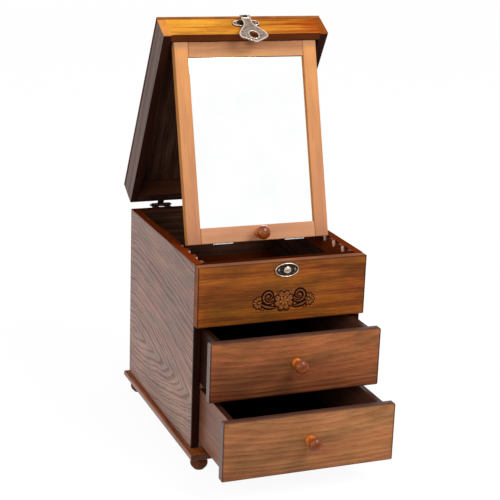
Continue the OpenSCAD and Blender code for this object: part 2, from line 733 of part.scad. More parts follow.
module lower_drawer_knob() color("#b5713c") in_drawer(lower_z, lower_out)
    drawer_knob_axis() knob_solid(knob_d, knob_l);

module lower_drawer_knob_screw() color("#b8b2a2") in_drawer(lower_z, lower_out)
    drawer_knob_axis() knob_screw_solid(drawer_front_t);

plinth();
feet();
side_left();
side_right();
back_board();
bottom_board();
drawer_divider();
compartment_floor();
compartment_lining();
front_board();
rack_left();
rack_right();
catch_plate();
catch_knob();
back_hinge_box_leaves();
back_hinge_pins();
lid_top();
lid_front();
lid_back();
lid_left();
lid_right();
back_hinge_lid_leaves();
hasp_plate();
hasp_pin();
hasp();
mirror_hinge_lid_leaves();
mirror_hinge_pins();
mirror_stile_left();
mirror_stile_right();
mirror_rail_top();
mirror_rail_foot();
mirror_glass();
mirror_backing();
mirror_knob();
mirror_knob_screw();
mirror_keepers();
mirror_hinge_frame_leaves();
upper_drawer_front();
upper_drawer_side_left();
upper_drawer_side_right();
upper_drawer_back();
upper_drawer_bottom();
upper_drawer_knob();
upper_drawer_knob_screw();
lower_drawer_front();
lower_drawer_side_left();
lower_drawer_side_right();
lower_drawer_back();
lower_drawer_bottom();
lower_drawer_knob();
lower_drawer_knob_screw();
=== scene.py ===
# %% [markdown]
# A wooden vanity box stands open on a pale floor. Its lid leans back, a mirror frame has folded out
# of the lid and stands between notched racks, and two drawers are pulled out. The solid pieces come
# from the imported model, already in their places. This lesson gives them their finishes and adds what
# is too fine for them: carving, raised rims and screws. Everything is in metres.

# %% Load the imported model
import json
import math
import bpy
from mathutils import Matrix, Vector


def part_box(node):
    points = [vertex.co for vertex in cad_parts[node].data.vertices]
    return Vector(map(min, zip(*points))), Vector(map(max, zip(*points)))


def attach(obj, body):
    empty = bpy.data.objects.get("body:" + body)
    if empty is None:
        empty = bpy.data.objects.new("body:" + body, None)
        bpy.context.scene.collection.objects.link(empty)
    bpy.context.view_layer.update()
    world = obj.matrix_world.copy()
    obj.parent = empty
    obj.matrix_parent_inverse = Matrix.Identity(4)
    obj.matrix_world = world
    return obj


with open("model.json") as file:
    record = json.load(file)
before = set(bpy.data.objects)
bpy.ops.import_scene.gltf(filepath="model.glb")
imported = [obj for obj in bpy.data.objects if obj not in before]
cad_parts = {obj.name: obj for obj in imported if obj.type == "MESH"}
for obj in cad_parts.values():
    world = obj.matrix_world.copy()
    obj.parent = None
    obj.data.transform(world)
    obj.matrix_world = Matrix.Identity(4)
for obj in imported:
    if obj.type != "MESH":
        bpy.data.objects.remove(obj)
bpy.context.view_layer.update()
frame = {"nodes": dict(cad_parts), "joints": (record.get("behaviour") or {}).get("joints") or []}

from types import SimpleNamespace

import bmesh
import bpy
from mathutils import Matrix, Vector

nodes = frame["nodes"]
joints = {joint["name"]: joint for joint in frame["joints"]}

# %% [markdown]
# The lid and the mirror frame lean, so their grain and their fittings are easier to place in their
# own axes. Their angles could be typed in, but the joints know them: the lower limit of the lid's joint
# is the closed lid. The mirror frame turns further, about a second pin, so its angle is the sum of both.

# %% Angles of the leaning pieces
MM = 0.001
lid_angle = math.radians(-joints["lid_hinge"]["range_deg"][0])
mirror_angle = lid_angle + math.radians(-joints["mirror_fold"]["range_deg"][0])
lid_turn = Matrix.Rotation(-lid_angle, 3, "X")
mirror_turn = Matrix.Rotation(-mirror_angle, 3, "X")
print("lid", round(math.degrees(lid_angle), 1), "mirror", round(math.degrees(mirror_angle), 1))

# %% [markdown]
# The camera stands a little above the box and to its left, and is rolled by two degrees, as when a
# tripod isn't quite level. A long lens keeps the upright edges nearly parallel. A constraint could aim
# the camera, but it can't roll it. So the axes are worked out from three angles, and each can be
# changed by itself.

# %% Camera
LENS, SENSOR = 96.88, 36
AZIMUTH, ELEVATION, ROLL = (math.radians(degrees) for degrees in (-21.72, 16.34, 2.11))
CAMERA_PLACE = Vector((-0.7255, -1.80177, 0.8639))


def camera_axes(azimuth, elevation, roll):
    """Right, up and back directions of a camera that looks at the box from those angles."""
    back = Vector((math.sin(azimuth) * math.cos(elevation), -math.cos(azimuth) * math.cos(elevation),
                   math.sin(elevation)))
    right = Vector((0, 0, 1)).cross(back).normalized()
    up = back.cross(right)
    turned_right = right * math.cos(roll) + up * math.sin(roll)
    turned_up = up * math.cos(roll) - right * math.sin(roll)
    return turned_right, turned_up, back


camera_data = bpy.data.cameras.new("camera")
camera_data.lens = LENS
camera_data.sensor_width = SENSOR
camera = bpy.data.objects.new("camera", camera_data)
bpy.context.scene.collection.objects.link(camera)
axes = Matrix(camera_axes(AZIMUTH, ELEVATION, ROLL)).transposed()
camera.matrix_world = Matrix.Translation(CAMERA_PLACE) @ axes.to_4x4()
bpy.context.scene.camera = camera
bpy.context.scene.view_settings.view_transform = "Standard"
print("camera at", [round(v, 3) for v in camera.matrix_world.translation])

# %% [markdown]
# Materials could be built by hand in the shader editor, but a script can be read and repeated. Colours
# are written as they look on a screen, in hex, and shaders work in linear light, so one function turns
# the first into the second. Another adds a node with its settings and links. With these two, a
# material reads from top to bottom like a recipe.

# %% Helpers for materials
def linear(colour):
    """Linear RGBA of an sRGB hex colour."""
    channels = [int(colour[i:i + 2], 16) / 255 for i in (1, 3, 5)]
    return [c / 12.92 if c <= 0.04045 else ((c + 0.055) / 1.055) ** 2.4 for c in channels] + [1.0]


def plug(node, inputs):
    """Fills inputs. Each takes a value, a socket, or a node, whose first output it then is."""
    for place, value in inputs.items():
        if isinstance(value, bpy.types.Node):
            value = value.outputs[0]
        if isinstance(value, bpy.types.NodeSocket):
            node.id_data.links.new(value, node.inputs[place])
        else:
            node.inputs[place].default_value = value


def add(tree, kind, inputs=None, stops=(), **settings):
    """Adds a node with its settings, its inputs and the stops of its colour ramp."""
    node = tree.nodes.new(kind)
    for name, value in settings.items():
        setattr(node, name, value)
    plug(node, inputs or {})
    for i, (position, colour) in enumerate(stops):
        element = node.color_ramp.elements[i] if i < 2 else node.color_ramp.elements.new(position)
        element.position = position
        element.color = linear(colour)
    return node


def new_material(name):
    """An empty material, its tree and its surface shader."""
    material = bpy.data.materials.new(name)
    material.use_nodes = True
    tree = material.node_tree
    return material, tree, tree.nodes["Principled BSDF"]


def dress(material, *names):
    """Gives CAD nodes a material in place of the plain one that they came with."""
    for name in names:
        slots = nodes[name].material_slots
        for slot in slots:
            slot.material = material
        if not slots:
            nodes[name].data.materials.append(material)


print("linear of a mid brown:", [round(c, 3) for c in linear("#8a5a30")])

# %% [markdown]
# The boards are ash: a ring-porous wood, with a row of open pores at the start of each year's ring.
# Stain gathers in the pores, so the rings show as dark lines, straight where the board was cut along
# them and in nested peaks where it was cut across them near the heart of the tree. A picture of wood
# would have to be laid on every board and would repeat. So the pattern is built as the tree is, and
# each board first gets its place in the log. A Mapping node turns a point of the board into
# millimetres along the grain, across it and out of the board's face.

# %% Boards and their axes
def grain_axes(grain, face):
    """Columns along the grain, across it and out of the board's face."""
    return Matrix((grain, Vector(face).cross(Vector(grain)), face)).transposed()


def board_box(name, axes):
    """Centre of a board in metres, and its half sizes in mm along the axes."""
    points = [axes.transposed() @ vertex.co for vertex in nodes[name].data.vertices]
    low, high = (Vector([pick(p[i] for p in points) for i in range(3)]) for pick in (min, max))
    return axes @ ((low + high) / 2), (high - low) / 2 / MM


def new_board(name, grain, face, heart):
    """A board's material, and the sockets that all steps of its finish share."""
    axes = grain_axes(grain, face)
    middle, half = board_box(name, axes)
    material, tree, shader = new_material("stained_ash_" + name)
    coordinates = add(tree, "ShaderNodeTexCoord").outputs
    board = add(tree, "ShaderNodeMapping", {"Vector": coordinates["Object"], "Location": middle,
                "Rotation": axes.to_euler(), "Scale": (MM, MM, MM)}, vector_type="TEXTURE")
    log = add(tree, "ShaderNodeVectorMath", {0: board, 1: heart}, operation="SUBTRACT")
    facing, endwise = [
        add(tree, "ShaderNodeVectorMath", {0: coordinates["Normal"], 1: way}, operation="DOT_PRODUCT")
        .outputs["Value"] for way in (face, grain)]
    return SimpleNamespace(material=material, tree=tree, shader=shader, half=half, board=board, log=log,
                           facing=facing, endwise=endwise)


centre, halves = board_box("side_left", grain_axes((0, 1, 0), (-1, 0, 0)))
print("left side:", [round(v, 3) for v in centre], [round(v, 1) for v in halves])

# %% [markdown]
# A year's ring is a tube around the heart line of the tree, which is a little slanted and bent. Its
# radius, divided by the width of a ring, counts the years, and the fraction of a year says how pale
# the wood is. A Wave texture makes rings too, but all of one width and one tone. Real ash has rings of
# 2 to 4 mm. They are drawn 5 to 12 mm apart near the heart, as in a young and fast-grown tree,
# because finer ones would not show.
# - ring is the width of a ring in mm, and slowing makes the rings narrower further out.
# - slant and warp lean and bend the heart line, and peak turns round rings into pointed ones.
# - band is the share of a year that the dark early wood takes to turn pale.

# %% Rings of the tree
SMOOTH = {"interpolation_type": "SMOOTHSTEP"}
NOISE = {1: 0.3, 2: 0.7}  # the range that noise seldom leaves
BEND = (150, 40)  # length and width in mm of a bend in the heart line


def stretched(tree, vector, along, across, **inputs):
    """Noise whose blotches are about along by across millimetres."""
    scaled = add(tree, "ShaderNodeVectorMath", {0: vector, 1: (1 / along, 1 / across, 1 / across)},
                 operation="MULTIPLY")
    return add(tree, "ShaderNodeTexNoise", {"Vector": scaled, "Scale": 1.0, **inputs})


def cut_rings(wood, ring, slowing, slant, warp, peak, band):
    """How pale the wood is where the board cuts the rings, and its opposite, the early wood."""
    tree = wood.tree
    drift = stretched(tree, wood.log, *BEND, Detail=3.0, Roughness=0.55)
    centred = add(tree, "ShaderNodeVectorMath", {0: drift.outputs["Color"], 1: (0.5, 0.5, 0.5)},
                  operation="SUBTRACT")
    shift = add(tree, "ShaderNodeVectorMath", {0: centred, 1: (0, warp, warp)}, operation="MULTIPLY")
    bent = add(tree, "ShaderNodeVectorMath", {0: wood.log, 1: shift}, operation="ADD")
    parts = add(tree, "ShaderNodeSeparateXYZ", {0: bent}).outputs
    depth = add(tree, "ShaderNodeMath", {0: parts["X"], 1: slant, 2: parts["Z"]}, operation="MULTIPLY_ADD")
    section = add(tree, "ShaderNodeCombineXYZ", {"Y": parts["Y"], "Z": depth})
    round_rings = add(tree, "ShaderNodeVectorMath", {0: section}, operation="LENGTH").outputs["Value"]
    folded = add(tree, "ShaderNodeVectorMath", {0: section}, operation="ABSOLUTE")
    pointed = add(tree, "ShaderNodeVectorMath", {0: folded, 1: (1, 1, 1)}, operation="DOT_PRODUCT")
    radius = add(tree, "ShaderNodeMix", {0: peak, 2: round_rings, 3: pointed.outputs["Value"]})
    counted = add(tree, "ShaderNodeMath", {0: radius, 1: ring}, operation="DIVIDE")
    years = add(tree, "ShaderNodeMath", {0: counted, 1: slowing}, operation="POWER")
    uneven = add(tree, "ShaderNodeTexNoise", {"W": years, "Scale": 0.6, "Detail": 1.0},
                 noise_dimensions="1D")
    aged = add(tree, "ShaderNodeMath", {0: uneven, 1: 1.6, 2: years}, operation="MULTIPLY_ADD")
    year = add(tree, "ShaderNodeMath", {0: aged}, operation="FRACT")
    late = add(tree, "ShaderNodeMapRange", {0: year, 1: 0.04, 2: band + 0.1}, **SMOOTH)
    before_winter = add(tree, "ShaderNodeMapRange", {0: year, 1: 0.86, 2: 1.0, 3: 1.0, 4: 0.0}, **SMOOTH)
    wood.pale = add(tree, "ShaderNodeMath", {0: late, 1: before_winter}, operation="MULTIPLY")
    wood.early = add(tree, "ShaderNodeMath", {0: 1.0, 1: wood.pale}, operation="SUBTRACT")


at_100_mm = 12 / (1.3 * (100 / 12) ** (1.3 - 1))
print("rings of 12 mm with a slowing of 1.3 are", round(at_100_mm, 1), "mm wide 100 mm from the heart")

# %% [markdown]
# Inside the rings run three finer things: fibres, broad streaks and pores. One noise texture could
# stand in for all, but each has its own width, so each is a noise of its own, stretched along the
# grain. Real fibres and pores are 0.3 mm wide or less, and are drawn wider so that they show.
# - figure says how much of the tone comes from the rings, and the rest from the streaks.
# - pore is how dark the pores are.

# %% Fibres, streaks and pores
FIBRE, PORE, STREAK = (30, 1.4), (9, 1.1), (140, 11)  # length and width in mm


def open_pores(wood, figure, pore):
    """The tone of rings and streaks, the fibres, and the dashes of open pores in the early wood."""
    tree, log = wood.tree, wood.log
    wood.fibre = stretched(tree, log, *FIBRE, Detail=3.0, Roughness=0.6)
    broad = stretched(tree, log, *STREAK, Detail=3.0, Roughness=0.6)
    streaks = add(tree, "ShaderNodeMapRange", {0: broad, **NOISE}, **SMOOTH)
    wood.rings = add(tree, "ShaderNodeMix", {0: figure, 2: streaks, 3: wood.pale})
    scratches = stretched(tree, log, *PORE, Detail=1.0)
    dashes = add(tree, "ShaderNodeMapRange", {0: scratches, 1: 0.52, 2: 0.64}, **SMOOTH)
    open_dashes = add(tree, "ShaderNodeMath", {0: dashes, 1: wood.early}, operation="MULTIPLY")
    wood.pores = add(tree, "ShaderNodeMath", {0: open_dashes, 1: pore}, operation="MULTIPLY")


print("times as long as wide:", [round(length / width) for length, width in (FIBRE, PORE, STREAK)])

# %% [markdown]
# The stain is rubbed in by hand. It takes unevenly, so its tone drifts over a board, and it is
# darkest in the pores. Two flat colours under the rings would look printed, so noise varies their
# brightness and hue. The colours are listed in this order: pores, dark bands, light bands, toned
# edges, narrow sides. Where the last one is missing, narrow sides are as dark as toned edges, and a
# turned piece, which has no edges, needs only the first three.
# - contrast squeezes the tone towards the middle, and mottle is how unevenly the stain took.
# - hue is how much its colour wanders, and fade makes a board lighter towards one end and one edge.
# - inner_shade darkens the face that looks into the box: a painted shade, where less light falls.

# %% Rubbed stain
FINE_CHANGE, BROAD_CHANGE = 0.16, 0.2
CLOUD = (70, 30)  # length and width in mm


def rub_stain(wood, stain, contrast, mottle, hue, fade, inner_shade):
    """The board's colour, and the shade that other colours on it are multiplied by."""
    tree = wood.tree
    squeezed = add(tree, "ShaderNodeMapRange", {0: wood.rings, 3: 0.5 - contrast / 2,
                   4: 0.5 + contrast / 2})
    slope = add(tree, "ShaderNodeVectorMath", {0: wood.board,
                1: (fade[0] / wood.half.x, fade[1] / wood.half.y, 0)}, operation="DOT_PRODUCT")
    tone = add(tree, "ShaderNodeMath", {0: squeezed, 1: slope.outputs["Value"]}, operation="ADD",
               use_clamp=True)
    base = add(tree, "ShaderNodeMix", {0: tone, 6: linear(stain[1]), 7: linear(stain[2])},
               data_type="RGBA")
    clouds = stretched(tree, wood.board, *CLOUD, Detail=2.0)
    fine = add(tree, "ShaderNodeMapRange", {0: wood.fibre, **NOISE, 3: 1 - FINE_CHANGE * mottle,
               4: 1 + FINE_CHANGE * mottle}, **SMOOTH)
    broad = add(tree, "ShaderNodeMapRange", {0: clouds, **NOISE, 3: 1 - BROAD_CHANGE * mottle,
                4: 1 + BROAD_CHANGE * mottle}, **SMOOTH)
    wood.shade = add(tree, "ShaderNodeMath", {0: fine, 1: broad}, operation="MULTIPLY")
    # Painted shade on the faces that look into the box.
    if inner_shade < 1:
        outwards = add(tree, "ShaderNodeMapRange", {0: wood.facing, 1: -0.5, 2: -0.2, 3: inner_shade}, **SMOOTH)
        wood.shade = add(tree, "ShaderNodeMath", {0: wood.shade, 1: outwards}, operation="MULTIPLY")
    varied = add(tree, "ShaderNodeVectorMath", {0: base.outputs[2], "Scale": wood.shade},
                 operation="SCALE")
    if hue:
        tint = add(tree, "ShaderNodeVectorMath", {0: clouds.outputs["Color"], 1: (hue,) * 3,
                   2: (1 - hue / 2,) * 3}, operation="MULTIPLY_ADD")
        varied = add(tree, "ShaderNodeVectorMath", {0: varied, 1: tint}, operation="MULTIPLY")
    wood.colour = add(tree, "ShaderNodeMix", {0: wood.pores, 6: varied, 7: linear(stain[0])},
                      data_type="RGBA").outputs[2]


print("a mottle of 1 changes the stain by up to", round(1 - (1 - FINE_CHANGE) * (1 - BROAD_CHANGE), 2))

# %% [markdown]
# The edges of most stained boxes are toned darker, which hides joints and end grain. The tone is
# sprayed on and frays along the fibres, so its border isn't straight. Narrow sides could have a second
# material, but they are told from the face by the way they look, so one material does for a board.
# - edge is the width of the toned border in mm. With 0 there is none.
# - seat_highlight is a pale colour painted deep in notches: a painted highlight of their glossy seats.
# - front_end is a colour for the end where the grain starts, which is the front of most boards: the
#   colour, and from and to where it fades, in mm.

# %% Toned edges and ends
FRAY = 1.6
ROUNDED = {1: 0.4, 2: 0.8}  # cosines between which a rounded edge passes from side to face


def tone_edges(wood, stain, edge, seat_highlight, front_end):
    """Colours of a board's borders, narrow sides, painted highlights deep in notches, and front end."""
    tree, layers = wood.tree, []
    level = add(tree, "ShaderNodeMath", {0: wood.facing}, operation="ABSOLUTE")
    narrow = add(tree, "ShaderNodeMapRange", {0: level, **ROUNDED, 3: 1.0, 4: 0.0}, **SMOOTH)
    if edge:
        away = add(tree, "ShaderNodeVectorMath", {0: wood.board}, operation="ABSOLUTE")
        inset = add(tree, "ShaderNodeVectorMath", {0: wood.half, 1: away}, operation="SUBTRACT")
        sides = add(tree, "ShaderNodeSeparateXYZ", {0: inset}).outputs
        nearest = add(tree, "ShaderNodeMath", {0: sides["X"], 1: sides["Y"]}, operation="MINIMUM")
        frayed = add(tree, "ShaderNodeMath", {0: wood.fibre, 1: -FRAY, 2: nearest},
                     operation="MULTIPLY_ADD")
        toned = add(tree, "ShaderNodeMapRange", {0: frayed, 1: -0.6, 2: edge, 3: 0.92, 4: 0.0}, **SMOOTH)
        layers.append((toned, linear(stain[3])))
    if len(stain) > 3:
        layers.append((narrow, add(tree, "ShaderNodeVectorMath", {0: linear(stain[-1])[:3],
                       "Scale": wood.shade}, operation="SCALE")))
    if seat_highlight:
        # Painted highlight where the glossy seats of the notches catch the light.
        deep = add(tree, "ShaderNodeMapRange", {0: nearest, 1: 0.6, 2: 1.2}, **SMOOTH)
        wear_and_glint = add(tree, "ShaderNodeMath", {0: deep, 1: narrow}, operation="MULTIPLY")
        layers.append((wear_and_glint, linear(seat_highlight)))
    if front_end:
        end_colour, start, stop = front_end
        where = add(tree, "ShaderNodeSeparateXYZ", {0: wood.board}).outputs["X"]
        at_end = add(tree, "ShaderNodeMapRange", {0: where, 1: start - wood.half.x, 2: stop - wood.half.x,
                     3: 1.0, 4: 0.0}, **SMOOTH)
        layers.append((at_end, add(tree, "ShaderNodeVectorMath", {0: linear(end_colour)[:3],
                       "Scale": wood.shade}, operation="SCALE")))
    for share, colour in layers:
        wood.colour = add(tree, "ShaderNodeMix", {0: share, 6: wood.colour, 7: colour},
                          data_type="RGBA").outputs[2]


print("the toned border frays by up to", FRAY, "mm")

# %% [markdown]
# Last comes a satin lacquer, thin enough to leave the grain open. Real grooves would need millions of
# faces, and from where one stands only their shading shows, so a bump follows pores and rings.
# - relief is how deep the grain stays open, in mm, and coat is a second, glossy layer.
# - gloss is the lacquer's strength: one number, or one for the face, one for the long narrow sides
#   and one for the ends. The sides of the box are seen at a low angle, and there a strong gloss mirrors
#   the white room and turns their brown into a greyish pink.

# %% Lacquer
COAT_ROUGHNESS = 0.08


def lacquer(wood, relief, gloss, coat, roughness):
    """Bump, roughness and gloss of the finished board."""
    tree = wood.tree
    rough = add(tree, "ShaderNodeMath", {0: wood.early, 1: 0.12, 2: roughness}, operation="MULTIPLY_ADD")
    sunk = add(tree, "ShaderNodeMath", {0: wood.pores, 1: 0.7, 2: wood.early}, operation="MULTIPLY_ADD")
    height = add(tree, "ShaderNodeMath", {0: sunk, 1: -1.0, 2: wood.fibre}, operation="MULTIPLY_ADD")
    bump = add(tree, "ShaderNodeBump", {"Height": height, "Strength": 0.6, "Distance": relief * MM})
    if isinstance(gloss, tuple):
        on_end = add(tree, "ShaderNodeMath", {0: wood.endwise}, operation="ABSOLUTE")
        beside = add(tree, "ShaderNodeMapRange", {0: on_end, **ROUNDED, 3: gloss[1], 4: gloss[-1]},
                     **SMOOTH)
        on_face = add(tree, "ShaderNodeMapRange", {0: wood.facing, **ROUNDED}, **SMOOTH)
        gloss = add(tree, "ShaderNodeMix", {0: on_face, 2: beside, 3: gloss[0]})
    plug(wood.shader, {"Base Color": wood.colour, "Roughness": rough, "Normal": bump, "Coat Normal": bump,
                       "Specular IOR Level": gloss, "Coat Weight": coat, "Coat Roughness": COAT_ROUGHNESS})


def stained_ash(name, grain, face, stain, heart=(0, 0, -80), ring=6.0, slowing=1.0, slant=0.05, warp=7.0,
                peak=0.0, band=0.4, figure=0.35, pore=0.6, contrast=1.0, mottle=1.0, hue=0.0, fade=(0, 0),
                inner_shade=1.0, edge=2.2, seat_highlight=None, front_end=None, relief=0.2, gloss=0.12, coat=0.0,
                roughness=0.42):
    """Gives one board its wood, cut from a log whose heart passes the board's centre at heart, in mm."""
    wood = new_board(name, grain, face, heart)
    cut_rings(wood, ring, slowing, slant, warp, peak, band)
    open_pores(wood, figure, pore)
    rub_stain(wood, stain, contrast, mottle, hue, fade, inner_shade)
    tone_edges(wood, stain, edge, seat_highlight, front_end)
    lacquer(wood, relief, gloss, coat, roughness)
    dress(wood.material, name)


print("a grain open to 0.8 mm is", 0.8 * MM, "m for the bump")

# %% [markdown]
# One stain was used all over, but it doesn't look the same everywhere, and part of that is painted light.
# The lid's front faces the light, so it is painted a bright honey, lighter to the left; the mirror frame
# is pale, and insides are dark. Lamps give only part of this, so each kind of board has its own colours,
# in the order that the rubbed stain takes them. UPPER and LOWER are the drawer fronts, RUSSET and SATIN
# are for insides.

# %% Colours of the stain
SIDE = ("#3c1c12", "#663c2e", "#9a6e5a", "#4a2010", "#4e1e0e")
RIMMED = SIDE[:4] + ("#7a300c",)
FRONT = ("#3a1804", "#5c260c", "#9c5a1a", "#34100a", "#935b41")
# The last colour of UPPER and LOWER, for the drawer fronts' narrow sides, is their dark brown lightened to
# paint part of the reflection in their rounded edges.
UPPER = ("#3c1a08", "#481a0a", "#a4643a", "#34100a", "#523024")
LOWER = ("#5a2c14", "#6c3820", "#b07a4c", "#451a0c", "#523024")
HONEY = ("#9a4410", "#a04407", "#f2a537", "#6a2c10", "#5a2a12")
LIDSIDE = ("#22100a", "#48281a", "#603824", "#3c1a0c", "#2c140c")
STILE = ("#a87044", "#ba7e5e", "#df9a5c", "#b0784c", "#b47844")
# RAIL, for the top rail of the mirror frame, is darker than STILE: a painted shadow of the lid.
RAIL = ("#90583a", "#986242", "#d09666", "#90583a", "#8a5028")
FOOT_RAIL = ("#a87048", "#c88a64", "#e2a47c", "#a87048", "#a86840")
PLINTH = ("#3c1408", "#7c3818", "#a85a2a", "#7a3818", "#8a5a44")
RUSSET = ("#200a04", "#5a220c", "#7e3814", "#5e220c")
INSIDE = ("#0c0402", "#1e0c06", "#2c140a", "#1e0c06")
EDGED = INSIDE + ("#7a5a4c",)
LINING = ("#3a1c0a", "#55220c", "#63290f", "#3a1808")
SATIN = ("#4a2a1e", "#3c1c12", "#8c5a44", "#3c1c14")
print("the sides go from", SIDE[1], "to", SIDE[2])

# %% [markdown]
# Each board gets the way its grain runs, the way its face looks and its own place in the log. The sides
# were sawn near the heart and show nested peaks, with a strong grain that can be felt. The drawer fronts
# have one calm arch each, and the front board, which carries the carving, is the quietest.

# %% Dress the box and its drawers
X, Y, Z = Vector((1, 0, 0)), Vector((0, 1, 0)), Vector((0, 0, 1))

# The heart passes 57 mm under the middle. Across points down on the left side and up on the right.
# The fade paints the sides lighter towards the bottom: painted light, as their sheen is brighter there.
for name, face, down in (("side_left", -X, 1), ("side_right", X, -1)):
    stained_ash(name, Y, face, RIMMED, heart=(150, 57 * down, 0), ring=12, slowing=1.3, slant=0.22,
                warp=16, peak=0.45, band=0.35, figure=0.6, pore=0.5, mottle=0.7, hue=0.4,
                fade=(0, 0.12 * down), inner_shade=0.3, edge=1.2, front_end=("#2a120c", 1.6, 2.2), relief=0.8,
                gloss=(0.6, 0.0))
stained_ash("back_board", X, Y, SIDE, heart=(-90, 60, -20), slant=0.1, inner_shade=0.4, gloss=(0.3, 0.0))
stained_ash("front_board", X, -Y, FRONT, heart=(-60, -260, -40), warp=22, band=0.8, figure=0.25, pore=0.3,
            contrast=0.7, hue=0.4, fade=(-0.08, 0), gloss=(0.12, 0.0))
# The upper drawer's front is painted darker towards the bottom: painted shade, where the lower drawer
# stands further out.
stained_ash("upper_drawer_front", X, -Y, UPPER, heart=(3, 47, 0), ring=8, slant=0.2, warp=12, band=0.8,
            figure=0.5, pore=0.3, contrast=0.32, hue=0.3, fade=(0.06, 0.28), gloss=(0.12, 0.25, 1.1))
stained_ash("lower_drawer_front", X, -Y, LOWER, heart=(20, 49, 0), ring=8, slant=0.2, warp=12, band=0.8,
            figure=0.5, pore=0.3, contrast=0.4, mottle=0.8, hue=0.3, fade=(0.08, 0.1),
            gloss=(0.12, 0.25, 1.1))
stained_ash("plinth", Y, Z, PLINTH, edge=0, front_end=("#5a3424", 0.6, 1.6), gloss=(0.1, 0.8, 0.15))
for name in ("drawer_divider", "bottom_board"):
    stained_ash(name, X, Z, EDGED, edge=0, gloss=(0.05, 0.3))
print("boards dressed:", sum(m.name.startswith("stained_ash") for m in bpy.data.materials))

# %% [markdown]
# Insides are plainer: stained almost black or a russet brown, with little figure and no toned border on
# the drawer sides, which slide and so have a harder, smoother satin lacquer. The upper drawer's left side
# is painted almost black as shade. The racks hold the foot of the mirror frame. Deep in their notches a
# pale colour is painted, as a painted highlight of their seats.

# %% Dress the insides
# The upper drawer's left side is painted almost black, as painted shade, and the fade paints all four
# sides lighter towards the front, as a painted reflection.
for name, face, stain, gloss in (
        ("upper_drawer_side_left", -X, INSIDE, 0.04), ("upper_drawer_side_right", X, SATIN, 0.22),
        ("lower_drawer_side_left", -X, SATIN, 0.22), ("lower_drawer_side_right", X, SATIN, 0.22)):
    stained_ash(name, Y, face, stain, heart=(0, 150, -80), figure=0.1, pore=0.1, contrast=0.3, mottle=0.4,
                fade=(-0.45, 0), inner_shade=0.6, edge=0, relief=0.03, gloss=(gloss, 0.12), roughness=0.34)
for drawer in ("upper_drawer", "lower_drawer"):
    stained_ash(f"{drawer}_back", X, Y, RUSSET)
    stained_ash(f"{drawer}_bottom", Y, Z, INSIDE)
for name, face in (("compartment_lining", Y), ("compartment_floor", Z)):
    stained_ash(name, X, face, LINING, figure=0.1, pore=0.0, contrast=0.2, mottle=0.2, gloss=0.0)
for name in ("rack_left", "rack_right"):
    # The pale colour deep in the racks' notches is a painted highlight of their seats.
    stained_ash(name, Y, X, RUSSET, ring=5, edge=1.0, seat_highlight="#cc9c84", gloss=(0.1, 0.05))
print("boards dressed:", sum(m.name.startswith("stained_ash") for m in bpy.data.materials))

# %% [markdown]
# The boards of the lid and of the mirror frame use turned axes. Beside the lid's front board, the ends
# of its walls show as strips in the lid front's colours, lighter on the left than on the right: the same
# painted light as on the lid's front. The frame's stiles are a warm tan towards the top and browner at
# the foot. Where the frame meets the lid, the stiles are dull and the top rail is darker, most of all at
# its upper edge: a painted shadow of the lid.

# %% Dress the lid and the mirror frame
LID_Y, LID_Z, MIRROR_Y, MIRROR_Z = lid_turn @ Y, lid_turn @ Z, mirror_turn @ Y, mirror_turn @ Z
# The lid's front is painted a bright honey as the face that catches the light, and the fade paints it
# lighter towards the left: painted light.
stained_ash("lid_front", X, -LID_Y, HONEY, heart=(0, -180, -30), ring=5, warp=8, band=0.7, figure=0.25,
            pore=0.3, mottle=0.6, fade=(-0.5, 0), edge=0, gloss=0.03)
for name, face, end in (("lid_left", -X, "#dc8e42"), ("lid_right", X, "#944a10")):
    stained_ash(name, LID_Y, face, LIDSIDE, heart=(0, 120, -60), mottle=0.6, front_end=(end, 1.6, 2.2),
                gloss=(0.3, 0.03))
stained_ash("lid_top", LID_Y, LID_Z, SIDE, heart=(60, 20, -30), slant=0.12, figure=0.3, inner_shade=0.3,
            front_end=("#a0602c", 1.6, 2.2), gloss=(0.35, 0.03))
stained_ash("lid_back", X, LID_Y, LIDSIDE, inner_shade=0.8)
# The top rail's fade darkens it towards its upper edge, and the stiles' front end dulls them where they
# meet the lid: a painted shadow of the lid.
for name, grain, stain, fade, end in (
        ("mirror_stile_left", MIRROR_Y, STILE, (-0.42, 0), ("#b5825b", 3, 15)),
        ("mirror_stile_right", MIRROR_Y, STILE, (-0.34, 0), ("#b5825b", 3, 15)),
        ("mirror_rail_top", X, RAIL, (0, -0.4), None), ("mirror_rail_foot", X, FOOT_RAIL, (0, 0), None)):
    stained_ash(name, grain, -MIRROR_Z, stain, heart=(0, 160, -60), ring=7, band=0.8, figure=0.2, pore=0.1,
                contrast=0.4, mottle=0.3, fade=fade, edge=0, front_end=end, relief=0.06, gloss=(0.1, 0.0),
                roughness=0.5)
stained_ash("mirror_backing", MIRROR_Y, MIRROR_Z, RUSSET)
print("boards dressed:", sum(m.name.startswith("stained_ash") for m in bpy.data.materials))

# %% [markdown]
# Knobs and feet are turned on a lathe from straight-grained wood, so their rings are cut round and the
# figure is faint. They could have a recipe of their own, but the boards' serves, with the heart of the
# tree in their middle and no toned edges. The knobs were dipped in a glossy lacquer, which shows as a
# warm colour with small sharp highlights. The feet were only brushed, and have hardly any gloss.

# %% Turned wood
TURNED = ("#4a1806", "#70300c", "#d06c1c")
BRUSHED = ("#200a04", "#48200e", "#74401e")
